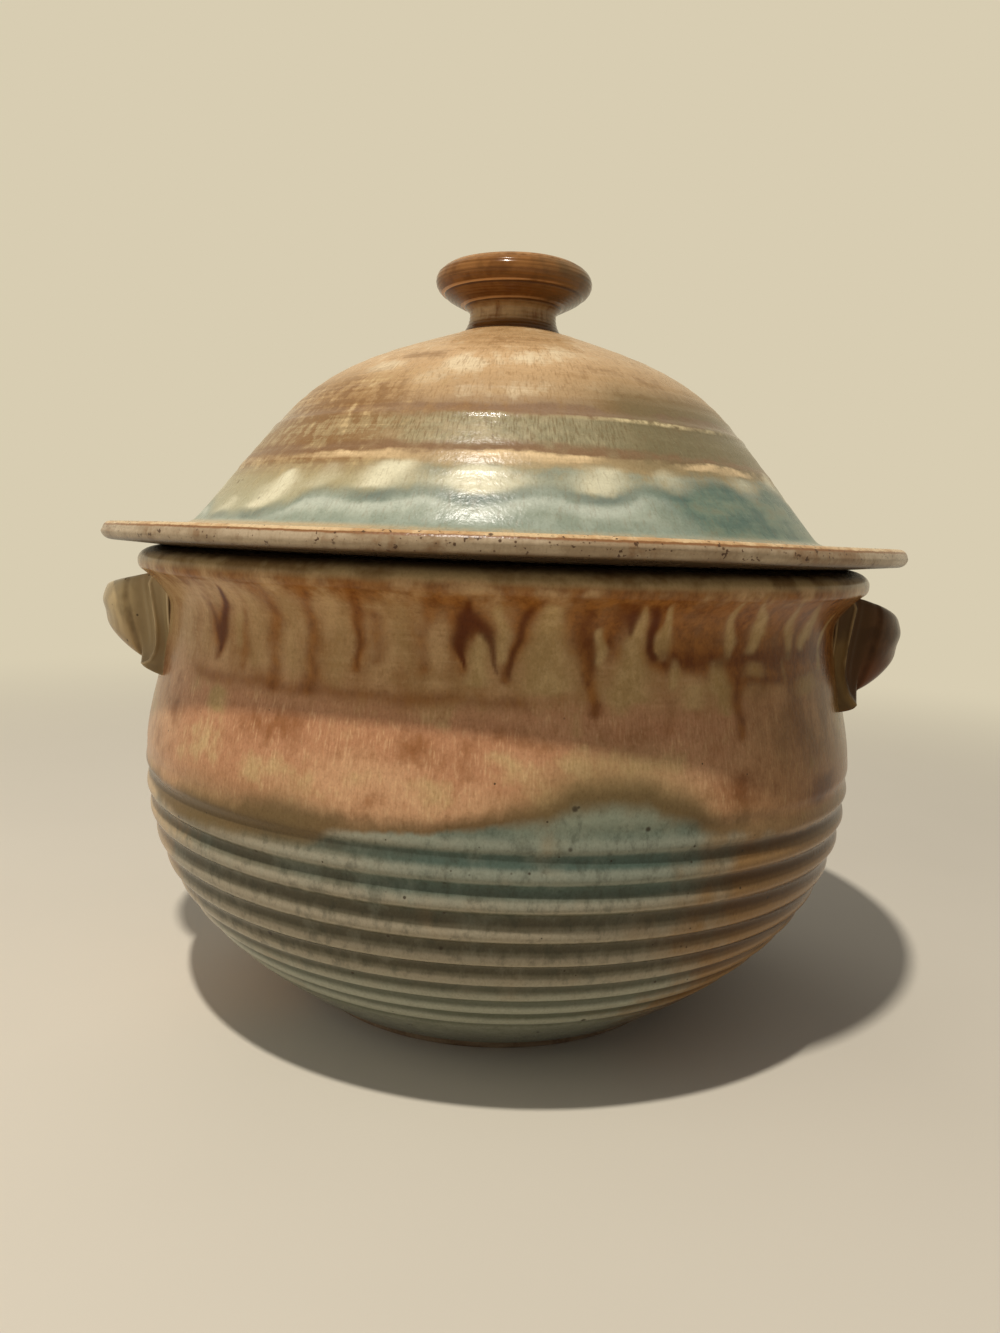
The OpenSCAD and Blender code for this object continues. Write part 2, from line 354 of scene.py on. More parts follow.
def ridgeShare(arc):
    pitch = pot["ridgePitch"]
    start = smooth(arc, pot["ridgeStart"] - pitch, pot["ridgeStart"])
    count = (arc - pot["ridgeStart"]) / pitch
    end = np.interp(count, *zip(*pot["ridgeFade"]))
    return (start * end)[:, None]


def potPush(run, line, turn):
    height = line[:, 1:]
    arc = wallArc[:, None]
    outer = onWall[:, None]
    uneven = 1 + 0.14 * np.sin(3 * turn + 0.11 * arc) + 0.1 * np.sin(5 * turn - 0.07 * arc)
    push = -pot["ridgeDepth"] * ridgeShare(wallArc) * uneven * (1 - ridgeWave(wallArc, turn)) * outer
    faint = 0.016 * np.sin(height * 2.1 + turn) + 0.012 * np.sin(height * 3.7 + 0.6 * np.sin(2 * turn) + turn)
    push = push + faint * smooth(height, 84, 100) * outer
    body = smooth(line[:, :1], 20, 70) * smooth(height, 6, 30) * smooth(height, 152, 140)
    push = push + body * (0.16 * np.sin(2 * turn + 0.7) + 0.1 * np.sin(3 * turn + 2.1 + height * 0.02))
    inner = (np.arange(len(line)) >= innerFrom)[:, None]
    spiral = 0.28 * np.sin(2 * math.pi * (run[:, None] / 9.5) - turn)
    return push + spiral * inner * smooth(line[:, :1], 3, 20) * smooth(height, 140, 118)


# glaze on the pot. A drop is its strength, then (angle, height, half width) from top to foot

potGlaze = {
    "stains": [(0.85, -39.4, 142, 0.5, -41, 136, 1.9, -42.4, 130, 2.7, -43, 123, 1.2),
        (0.6, -45.8, 138, 1.0, -44.2, 133, 2.0, -43, 128, 1.5),
        (0.5, -37, 136, 0.6, -37.4, 129, 1.3, -37, 121, 1.2),
        (0.7, -31.2, 144, 1.2, -31.2, 132, 1.8, -31, 117, 1.4),
        (0.7, -24.8, 144, 1.1, -25.2, 132, 1.5, -25, 117, 1.3),
        (0.85, -17.6, 145, 0.9, -18.4, 134, 1.0, -18.2, 124, 0.7),
        (0.65, -16, 138, 1.0, -15.8, 132, 2.0, -15.6, 126, 1.6),
        (0.6, -8.5, 143, 1.8, -9.6, 134, 1.4, -9.6, 125, 1.0),
        (0.8, -5, 143, 3.2, -4, 138.5, 3.6, -3, 134.5, 1.6),
        (0.6, -5.6, 138, 1.2, -5.2, 131, 1.8, -4.8, 125, 0.8),
        (0.85, 3.6, 142.5, 1.4, 2.4, 134, 1.4, 0.6, 123, 1.2),
        (0.85, 9.8, 144, 1.9, 10.8, 135, 1.9, 10.8, 127, 1.3, 12.2, 115, 1.0),
        (0.9, 14.4, 142.5, 1.4, 14.2, 138, 1.7, 13.8, 133, 0.7),
        (1.0, 19.6, 143.5, 1.6, 19.2, 136, 1.0, 19, 127.5, 1.3),
        (0.8, 33.2, 142, 1.2, 33, 124, 1.4, 33.4, 108, 1.2),
        (0.4, 21.6, 127, 1.4, 22, 118, 1.4, 22, 111, 1.0),
        (0.5, 46, 122, 2.4, 46, 112, 2.6, 45.6, 104, 2.0), (0.6, 53, 92, 4.0, 52, 89, 5.0, 51, 86, 3.5)],
    "fingers": [(0.6, -38.3, 134.5, 0.8, -38.4, 131, 1.1, -38.5, 127, 0.8),
        (0.4, -34.8, 142, 1.2, -34.6, 132, 1.9, -34.8, 122, 1.4),
        (0.4, -28.2, 142, 1.4, -28, 132, 2.2, -28, 121, 1.7),
        (0.4, -21.6, 142, 1.2, -21.6, 132, 2.1, -21.4, 119, 1.8),
        (0.35, -12.6, 141, 1.2, -12.4, 134, 1.7, -12.4, 127, 1.4),
        (0.95, -2.6, 133.8, 0.8, -2.6, 130, 1.3, -2.8, 122.5, 1.7),
        (0.8, -0.2, 141, 0.7, 0.1, 134, 1.1, 0.3, 128.5, 0.8),
        (1.0, 6, 141.5, 1.3, 6, 138, 2.0, 5.8, 130, 3.0, 5.8, 121, 3.7),
        (0.95, 12.5, 135.5, 0.6, 12.5, 131.5, 1.0, 12.2, 128.5, 0.6),
        (1.0, 17.2, 141.5, 0.45, 17.4, 137, 1.0, 16.8, 130, 2.2, 16.6, 119, 3.2),
        (1.0, 20.6, 142.5, 0.4, 20.8, 137.5, 0.7, 21.1, 133, 1.7, 21, 129.4, 1.2),
        (0.9, 23, 127.5, 0.7, 22.9, 125, 1.1, 22.6, 122.3, 0.7),
        (1.0, 29.7, 127.4, 1.4, 29.7, 124.5, 2.0, 29.9, 121.2, 1.6),
        (0.8, 26, 121, 2.4, 26, 118, 2.8, 26, 116, 2.2), (0.7, 31, 121, 1.5, 31, 118, 1.8, 31, 115, 1.5),
        (0.6, 15, 121, 1.7, 15, 118.5, 2.0, 15, 116, 1.6),
        (0.85, 30.2, 143, 0.4, 31, 138, 0.9, 31.6, 133, 1.3, 31.4, 129.6, 0.8),
        (1.0, 33.4, 145, 0.5, 36.2, 139.5, 1.2, 36.9, 135, 1.8, 35.6, 130, 1.3),
        (0.8, 41.6, 143.5, 0.7, 43, 138.5, 1.0, 44.6, 134, 1.5, 44.2, 128.4, 0.9),
        (0.95, 46, 144, 0.6, 49.4, 138.5, 1.4, 49.4, 134, 2.1, 47.6, 130.4, 1.3),
        (0.85, 57.4, 138, 0.8, 56, 134, 1.1, 54.6, 129, 0.7, 54.8, 123.6, 0.9),
        (0.7, 37, 126, 2.4, 37, 123.8, 2.6), (0.7, 50, 121.5, 4.0, 50, 118.2, 4.6),
        (0.5, 42.6, 127, 0.6, 43.8, 122, 0.7), (1.0, -41.5, 113, 2.1, -41.5, 111, 2.5, -41.3, 109, 2.0),
        (0.5, 9.8, 114, 0.9, 9.8, 110, 1.1)],
    "darks": [(1.0, -39.6, 141.5, 0.35, -41.2, 135, 1.1, -42.2, 130, 1.7, -42.7, 124.8, 0.5),
        (0.6, -44.8, 136.5, 0.7, -43.8, 132.5, 1.0, -43, 128.5, 0.7),
        (0.4, -18.2, 143.5, 0.4, -18.5, 134, 0.5, -18.3, 127, 0.4),
        (1.0, -3.6, 141.5, 0.6, -4.4, 137, 1.5, -5.1, 132.5, 1.2, -4.7, 126.4, 0.3),
        (0.85, -3.8, 138.5, 1.7, -2.2, 135.6, 1.3, -1.2, 132, 0.6, -0.3, 125.5, 0.35),
        (0.8, 3.4, 141, 0.7, 2.2, 134, 0.7, 1.2, 124.5, 0.5),
        (0.6, 10.4, 141, 1.0, 10.8, 133, 1.2, 11.4, 126, 0.9),
        (0.9, 15.9, 142, 1.1, 16, 139.5, 1.3, 16.3, 136, 0.5),
        (1.0, 18.7, 142, 0.9, 19.2, 136, 0.7, 19.3, 130.5, 0.7, 20, 128.6, 1.0),
        (0.3, 33, 128, 0.9, 32.8, 122, 0.9, 33.2, 112, 0.8),
        (0.5, 41, 131, 3.0, 41.4, 128, 4.2, 41.6, 125.6, 2.4),
        (0.6, 51.5, 131, 3.0, 52, 128.4, 4.6, 52.4, 125.6, 2.6),
        (0.5, 46.2, 141, 0.8, 46.4, 135, 0.8, 46, 131, 0.6),
        (0.5, 57.4, 131, 2.0, 57.4, 126, 2.4, 57.2, 122, 1.0),
        (0.45, 55, 93, 4.0, 53, 89, 5.6, 51, 86, 3.6)],
    "shelves": [                                  # from angle, to angle, height, half height, strength
        # the third shelf, low across the front, is brown glaze partly painted as shade along the lid's shadow
        # line
        (22, 57, 128.4, 2.9, 0.95), (34, 58, 122.4, 1.6, 0.6), (-48, 2, 117.4, 2.6, 0.5)],
    "clouds": [                                   # angle, height, half width, half height, paler or darker
        (3, 103, 2.6, 4, 0.5), (11, 102, 3, 4, 0.55), (19.5, 102.5, 3, 4, 0.45), (-10, 96, 7, 4, 0.4),
        (-28, 96, 10, 4, 0.45), (-2, 117, 4, 3, 0.5), (-45, 99, 6, 5, 0.4), (-30, 107, 9, 5, -0.55),
        (-14, 106, 6, 5, -0.45), (1, 108, 5, 3.5, -0.5), (-6, 101, 4, 5, -0.4), (31, 93, 4, 5, -0.6),
        (16, 109, 5, 3, -0.5), (-52, 106, 6, 5, -0.5), (52, 89, 5, 4, -1.2)],
    "brown": [(-180, 0.7), (-150, 0.3), (-120, 0.8), (-90, 0.4), (-62, 0.2), (-50, 0), (-3, 0), (1, 0.4),
        (8, 0.55), (12, 0.75), (22, 0.9), (60, 0.95), (90, 0.8), (120, 0.4), (150, 0.8)],
    "brownFoot": [(-180, 124), (-100, 128), (-60, 131), (0, 131), (10, 128), (20, 126), (30, 121),
        (60, 117), (100, 122), (150, 128)],
    "tide": [(-180, 80), (-160, 86), (-140, 91), (-118, 88), (-100, 82), (-80, 79), (-62, 79), (-50, 74.6),
        (-40, 75), (-32, 77.2), (-22.6, 78.6), (-19.4, 83.4), (-10, 84.4), (-3, 85.6), (1, 87), (6, 89.6),
        (10, 91.6), (14.5, 92.4), (19, 91.4), (23, 88), (27, 85), (31, 83), (46, 79), (62, 80), (82, 84),
        (102, 90), (128, 86), (154, 78)],
    "warmth": [(-180, 0.1), (-150, 0.0), (-110, -0.4), (-86, -0.75), (-74, -0.9), (-64, -0.72),
        (-55, -0.42), (-46, -0.14), (-38, 0.0), (15, 0.0), (22, 0.14), (30, 0.4), (38, 0.66), (47, 0.9),
        (56, 1.0), (80, 0.9), (105, 0.35), (135, 0.1)],
    "halo": [(-180, 0.5), (-120, 0.4), (-70, 0.3), (-52, 0.6), (-44, 0.95), (-34, 0.8), (-25, 0.9),
        (-21, 0.5), (-18, 0.14), (-6, 0.14), (0, 0.35), (8, 0.85), (16, 0.95), (24, 0.8), (30, 0.4),
        (45, 0.2), (90, 0.4), (150, 0.6)],
    "smear": [(-180, 0.2), (-150, 0.7), (-120, 0.1), (-80, 0.3), (-56, 0.4), (-47, 0.9), (-36, 0.8),
        (-25, 1.0), (-21, 0.5), (-18, 0.0), (6, 0.05), (14, 0.2), (24, 0.35), (30, 0.1), (60, 0.2),
        (100, 0.7), (140, 0.1)],
    "blue": [(-180, 0.5), (-150, 0.8), (-110, 0.4), (-70, 0.2), (-50, 0.4), (-30, 0.3), (-18, 0.45),
        (-8, 0.75), (4, 0.95), (16, 1.0), (24, 0.85), (32, 0.4), (44, 0.05), (80, 0.1), (110, 0.6),
        (140, 0.9)],
}
dice = random.Random(11)
angle = 62.0
while angle < 297.0:                              # the same kind of drops round the back
    top, end = dice.uniform(139, 144), dice.uniform(117, 131)
    half, lean = dice.uniform(0.9, 2.0), dice.uniform(-2, 2)
    spine = [(angle, top, 0.6), (angle + lean / 2, (top + end) / 2, 1.0), (angle + lean, end, 0.6)]
    for kind, share, size in (("stains", 1.0, 1.0), ("darks", 0.45, 0.45)):
        if dice.random() < share:
            drop = [v for a, h, w in spine for v in (a, h, w * half * size)]
            potGlaze[kind].append((dice.uniform(0.55, 1.0), *drop))
    if dice.random() < 0.85:
        side, end = angle + 3.1, dice.uniform(119, 131)
        potGlaze["fingers"].append((dice.uniform(0.5, 1.0), side, dice.uniform(138, 142), 0.5, side, 135, 1.0,
                                    side + dice.uniform(-0.6, 0.6), end, dice.uniform(1.2, 2.4)))
    potGlaze["clouds"].append((angle, dice.uniform(90, 116), dice.uniform(3, 9), dice.uniform(3, 6),
                               dice.uniform(-0.9, 0.9)))
    angle += dice.uniform(4.6, 8.2)
potGlaze["shelves"] += [(96, 142, 127, 1.6, 0.6), (210, 256, 124, 1.8, 0.5), (182, 220, 130, 1.5, 0.6)]


def turnGap(a, b):                                # signed difference of two angles in degrees
    return (a - b + 180) % 360 - 180


def drops(degrees, height, marks):                # 1 inside the drops, 0 well away from them
    clear = 1.0
    for strength, *spine in marks:
        at, level, half = np.array(sorted(np.reshape(spine, (-1, 3)).tolist(), key=lambda mark: mark[1])).T
        across = np.abs(turnGap(degrees, np.interp(height, level, at))) / np.interp(height, level, half)
        past = np.maximum(height - level[-1], 0) + np.maximum(level[0] - height, 0)
        clear = clear * (1 - strength * hump(across) * hump(past / 1.5))
    return 1 - clear


def patches(degrees, height, marks):              # soft patches laid over each other
    field = 0.0
    for at, level, wide, tall, strength in marks:
        field = field + strength * hump(turnGap(degrees, at) / wide) * hump((height - level) / tall)
    return field


def ripple(degrees, height):                      # gives outlines an uneven hand
    slow = 0.5 * np.sin(0.55 * height + 0.21 * degrees) + 0.4 * np.sin(0.31 * height - 0.37 * degrees + 1)
    return slow + 0.25 * np.sin(0.9 * height + 0.8 * degrees + 2)


tide, warmth, halo, brown, brownFoot, blue, smear = (
    roundTheWheel(potGlaze[key]) for key in ("tide", "warmth", "halo", "brown", "brownFoot", "blue", "smear"))


def potPaint(run, line, turn):
    degrees = np.degrees(turn)[None, :]
    height = line[:, 1:] + 0 * degrees
    dark, pale, stain, cloud = np.zeros((4,) + height.shape)
    rows = slice(*neckRows)
    sway = degrees + 0.35 * ripple(degrees, height[rows])
    lift = height[rows] + 0.7 * ripple(2 * degrees, 0.3 * height[rows])
    shelf = 0 * sway
    for start, end, level, deep, strength in potGlaze["shelves"]:
        away = np.maximum(np.abs(turnGap(sway, (start + end) / 2)) - (end - start) / 2, 0)
        shelf = np.maximum(shelf, strength * hump((lift - level) / deep) * hump(away / 2.5))
    country = brown(degrees) * smooth(lift - brownFoot(degrees), -2, 4) * smooth(lift, 147, 142)
    stain[rows] = 1 - (1 - drops(sway, lift, potGlaze["stains"])) * (1 - 0.85 * country) * (1 - shelf)
    dark[rows] = np.maximum(drops(sway, lift, potGlaze["darks"]), shelf * 0.62)
    pale[rows] = drops(sway, lift, potGlaze["fingers"])
    cloud[rows] = patches(degrees + ripple(degrees, height[rows]), lift, potGlaze["clouds"])
    crest = 0.5 + (ridgeWave(wallArc, turn) - 0.5) * ridgeShare(wallArc)
    crest[:wallFrom] = 0.3
    inside = np.zeros(len(line))
    inside[outsideEnd:] = 1
    inside[:len(potParts[0])] = -1                # the underside
    flat = 0 * height
    return {"glazeOne": np.stack([dark, pale, height - tide(degrees)], -1),
            "glazeTwo": np.stack([crest, warmth(degrees) + flat, inside[:, None] + flat], -1),
            "glazeThree": np.stack([halo(degrees) + flat, stain, cloud], -1),
            "glazeFour": np.stack([blue(degrees) + flat, smear(degrees) + flat, flat], -1)}


def linerGlaze(f, mottle, blotch, rings, pale, tan, brown):   # inside, breaking brown on the throwing rings
    liner = f.blend(f.rise(mottle + (blotch - 0.5) * 0.8, 0.34, 0.7), pale, tan)
    liner = f.blend(f.rise(rings + (blotch - 0.5) * 0.8, 0.5, 0.8) * 0.5, liner, brown)
    return f.blend(f.specks(0.21, 0.5) * 0.8, liner, (84, 58, 36))


def potFinish():
    f = Finish("potGlaze")
    dark, pale, aboveTide = f.mark("glazeOne")
    crest, warm, zone = f.mark("glazeTwo")
    halo, stain, cloud = f.mark("glazeThree")
    blue, smear = f.mark("glazeFour")[:2]
    streak = f.noise(f.downhill(f.z, 18, 0.05), 3, 0.5)
    fine = f.noise(f.downhill(f.z, 200, 0.32), 1, 0.5)
    blotch = f.noise(f.stretch(0.022, 0.022, 0.034), 3)
    mottle = f.noise(f.stretch(0.11, 0.11, 0.09), 3, 0.55)
    grain = f.noise(f.stretch(0.32, 0.32, 0.2), 4, 0.65)
    rings = f.noise(f.downhill(f.z, 2.4, 0.8), 3, 0.6)
    peel = f.noise(f.stretch(0.7, 0.7, 0.6), 1)
    salt = f.noise(f.stretch(1.5, 1.5, 1.1), 2, 0.6)
    dusk = f.rise(warm + (blotch - 0.5) * 0.3, 0.15, 1.0)
    # belly: tan, rosy and olive clouds under very fine crystal streaks
    f.colour = f.blend(f.rise(blotch + (mottle - 0.5) * 0.4, 0.38, 0.62), (196, 151, 113), (182, 132, 97))
    drift = cloud + (mottle - 0.5) * 2.2 + (blotch - 0.5) * 0.6 + (grain - 0.5) * 0.8
    f.coat(f.rise(drift, 0.05, 0.8), (190, 158, 113))
    f.coat(f.rise(drift, 0.1, -0.95), (142, 92, 56))
    patchy = f.rise(grain + (mottle - 0.5) * 0.6, 0.36, 0.64)
    f.coat(f.rise(fine, 0.5, 0.72) * patchy * 0.4, (220, 182, 138))
    f.coat(f.rise(fine, 0.48, 0.28) * 0.24, (146, 98, 62))
    f.coat(f.rise(grain, 0.46, 0.3) * 0.3, (150, 104, 66))
    # neck, with its stains, fingers and dark drops
    neck = f.blend(f.rise(mottle, 0.34, 0.66), (188, 152, 108), (164, 128, 84))
    neck = f.blend(f.rise(streak + (grain - 0.5) * 0.5, 0.42, 0.68) * 0.5, neck, (150, 104, 62))
    neck = f.blend(f.rise(grain + (rings - 0.5) * 0.5, 0.5, 0.72) * 0.4, neck, (200, 168, 122))
    neck = f.blend(f.rise(grain + (rings - 0.5) * 0.5, 0.46, 0.28) * 0.4, neck, (136, 96, 58))
    f.coat(f.rise(f.z + (streak - 0.5) * 8 + (blotch - 0.5) * 16, 112, 126), neck)
    wash = dusk * f.rise(f.z, 88, 108) * f.rise(streak + (mottle - 0.5) * 0.9, 0.3, 0.7)
    f.coat(wash * 0.7, (118, 78, 36))
    feather = (mottle - 0.5) * 0.5 + (grain - 0.5) * 0.4
    umber = f.blend(f.rise(grain + (mottle - 0.5) * 0.4, 0.34, 0.66), (114, 62, 16), (152, 98, 44))
    f.coat(f.rise(stain + feather, 0.0, 1.05), umber)
    finger = f.blend(f.rise(grain + (mottle - 0.5) * 0.4, 0.36, 0.64), (192, 162, 114), (170, 140, 92))
    f.coat(f.rise(pale + feather * 0.7, 0.05, 1.0) * 0.9, finger)
    f.coat(f.rise(dark + feather * 0.8, 0.05, 1.1) * 0.94, (88, 38, 4))
    # rim, with painted shade where the lid's flange hangs over it: its colours darkened, darkest on its top
    line = f.rise(f.z + (mottle - 0.5) * 3, 140, 144) * f.rise(f.z, 148.2, 146)
    f.coat(line * f.rise(mottle + (streak - 0.5) * 0.5, 0.3, 0.6) * 0.75, umber)
    rim = f.blend(f.rise(mottle + (blotch - 0.5) * 0.5, 0.4, 0.64), (178, 152, 108), (138, 110, 72))
    # painted shade: the rim's top turned near black under the flange
    kept = f.rise(f.z + (mottle - 0.5) * 0.6, 149.2, 151.2) * f.rise(zone, 0.5, 0.3)
    rim = f.blend(kept * 0.9, rim, (58, 46, 30))
    f.coat(f.rise(f.z + (mottle - 0.5) * 3, 146, 148.6), rim)
    # painted shade: the brown right side multiplied darker towards the top, over its deeper brown glaze
    shadeAndBrownRight = dusk * f.rise(f.z, 162, 106)
    f.coat(shadeAndBrownRight, (0.66, 0.61, 0.43, 1.0), "MULTIPLY")
    # dark edge and olive halo over the tide line
    level = aboveTide + (mottle - 0.5) * 5 + (grain - 0.5) * 1.5
    f.coat(f.rise(level, halo * 18 + 5, halo * 2) * (halo * 0.8 + 0.1), (138, 120, 80))
    high = smear * 6 + halo * 1.2
    f.coat(f.rise(level, high + 4.5 + halo * 3, high) * (1 - dusk * 0.7) * 0.8, (92, 74, 46))
    # lower half: sea glaze that breaks pale on the crests and pools in the grooves
    worn = crest + (mottle - 0.5) * 0.16 + (grain - 0.5) * 0.16
    wavy = f.z + (mottle - 0.5) * 12
    teal = f.blend(f.rise(worn, 0.25, 0.75), (82, 98, 88), (134, 138, 122))
    teal = f.blend(f.rise(wavy, 79, 90) * 0.7, teal, (140, 145, 124))
    ash = f.blend(f.rise(worn, 0.2, 0.5), (86, 80, 63), (117, 110, 90))
    ash = f.blend(f.rise(worn, 0.5, 0.85), ash, (158, 147, 125))
    lower = f.blend(f.rise(blue + (mottle - 0.5) * 0.7, 0.1, 0.9) * f.rise(wavy, 60, 74), ash, teal)
    lower = f.blend(f.rise(grain + (streak - 0.5) * 0.3, 0.52, 0.3) * 0.4, lower, (64, 66, 54))
    lower = f.blend(f.rise(mottle + (grain - 0.5) * 0.6, 0.48, 0.74) * 0.2, lower, (148, 148, 130))
    green = f.blend(f.rise(worn, 0.25, 0.8), (98, 102, 86), (156, 158, 140))
    lower = f.blend(f.rise(wavy, 46, 30) * 0.85, lower, green)
    toned = warm + (blotch - 0.5) * 0.8 + (mottle - 0.5) * 0.8
    rust = f.blend(f.rise(worn, 0.12, 0.5), (80, 55, 28), (108, 79, 45))
    rust = f.blend(f.rise(worn, 0.55, 0.85), rust, (146, 113, 72))
    lower = f.blend(f.rise(toned, 0.08, 0.72), lower, rust)
    sand = f.blend(f.rise(worn, 0.15, 0.7), (140, 112, 78), (192, 162, 122))
    lower = f.blend(f.rise(toned, -0.2, -0.8), lower, sand)
    f.coat(f.rise(level, halo * 2.6 + 0.5, -0.6 - halo * 2.6), lower)
    under = f.rise(level, 6, 0)
    spots = f.specks(0.1, 0.35) * under + f.specks(0.19, 0.3) * under + f.specks(0.3, 0.1)
    f.coat(spots * f.rise(f.z, 130, 100) * 0.85, (54, 44, 32))
    f.coat(f.rise(salt, 0.5, 0.3) * 0.4, (0.7, 0.68, 0.64, 1.0), "MULTIPLY")
    f.coat(f.rise(salt, 0.52, 0.72) * 0.4, (1.24, 1.24, 1.24, 1.0), "MULTIPLY")
    liner = linerGlaze(f, mottle, blotch, rings, (202, 186, 150), (182, 158, 116), (156, 122, 82))
    f.coat(f.rise(zone, 0.3, 0.7), liner)
    clay = f.blend(f.rise(mottle, 0.35, 0.65), (150, 128, 102), (128, 104, 80))
    bare = f.rise(zone, -0.3, -0.7)
    f.coat(bare, clay)
    rough = 0.2 + (mottle - 0.5) * 0.12 + bare * 0.45
    height = mottle * 0.6 + peel * 0.5 + grain * 0.3 + salt * 0.2
    return f.glossy(rough, height, 0.14, 0.13)


potPiece = throw("potBody", potLine, pot["around"], potPush, potPaint, finer=neckRows)
place(potPiece, "pot", "pot_body", potFinish())


# foot ring

foot = {"outer": 66, "inner": 57, "height": 4, "soft": 1.2, "around": 240}


def footLine():
    outer, inner, high, soft = (foot[key] for key in ("outer", "inner", "height", "soft"))
    return np.vstack([
        straight([inner + soft, 0], [outer - soft, 0], 1.2)[:-1],
        bend([outer - soft, 0], [outer - 0.3, 0], [outer, 0.3], [outer, soft], 6),
        bend([outer, soft], [outer + 0.3, 2], [outer + 0.6, 3], [outer + 1, high], 5),
        straight([outer + 1, high], [inner - 0.5, high], 1.5)[:-1],
        bend([inner - 0.5, high], [inner - 0.2, 3], [inner, 2], [inner, soft], 5),
        bend([inner, soft], [inner, 0.3], [inner + 0.3, 0], [inner + soft, 0], 6)])


def footPush(run, line, turn):
    low = smooth(line[:, 1:], 0.05, 1.2)
    return low * (0.1 * np.sin(4 * turn + 1) + 0.07 * np.sin(9 * turn + 2))


def clayFinish(name):
    f = Finish(name)
    grain = f.noise(f.stretch(1.1, 1.1, 1.1), 4, 0.7)
    cloud = f.noise(f.stretch(0.09, 0.09, 0.2), 3)
    rings = f.noise(f.stretch(0.05, 0.05, 1.6), 2)
    f.colour = f.blend(f.rise(cloud, 0.35, 0.68), (146, 124, 98), (118, 94, 70))
    f.coat(f.rise(grain, 0.5, 0.75) * 0.5, (188, 166, 136))
    f.coat(f.specks(0.3, 0.5) * 0.8, (78, 54, 36))
    return f.glossy(0.62 + (grain - 0.5) * 0.3, grain * 0.6 + rings, 0.22, 0.2)


bareClay = clayFinish("bareClay")
footPiece = throw("footRing", footLine(), foot["around"], footPush, closed=True)
place(footPiece, "pot", "foot_ring", bareClay)


# handles: straps pulled from clay, pressed on with the thumb at both ends

handle = {
    "span": 97, "reach": 24, "thick": 9.5, "endHeight": 34.5, "midHeight": 14, "endTop": 144.5, "lean": 8.5,
    "rootDepth": 2.6, "sides": 96, "endRings": 86, "midRings": 80, "turnIn": 56, "flareWide": 10.8,
    "groove": (8.0, 3.2, 2.3), "fold": (0.6, 1.0), "leaf": 1.5, "bead": (0.7, 0.7, 0.9),
    "step": (12.4, 0.7, 1.0),
    "foldMarks": [(-1, 8.8), (-0.92, 7.4), (-0.8, 6.0), (-0.5, 5.0), (0, 4.9), (0.5, 5.6), (0.8, 6.3),
        (0.93, 5.2), (1, 1.5)],
    "left": {"lift": 3.5, "nub": -0.7, "nubWide": 11.5, "full": 1.1, "flare": 8.3},
    "right": {"lift": 1.0, "nub": 2.6, "nubWide": 12, "full": 1.6, "flare": 9.0},
}


def wallRadius(height):
    radii, heights = np.vstack([wallLine, potParts[3][1:], [pot["tip"]]]).T
    return np.interp(height, heights, radii)


def power(x, e):
    return np.sign(x) * np.abs(x) ** e


def foldLine(v):                                  # how far off the wall the raised fold runs, top to bottom
    return np.interp(v, *zip(*handle["foldMarks"]))


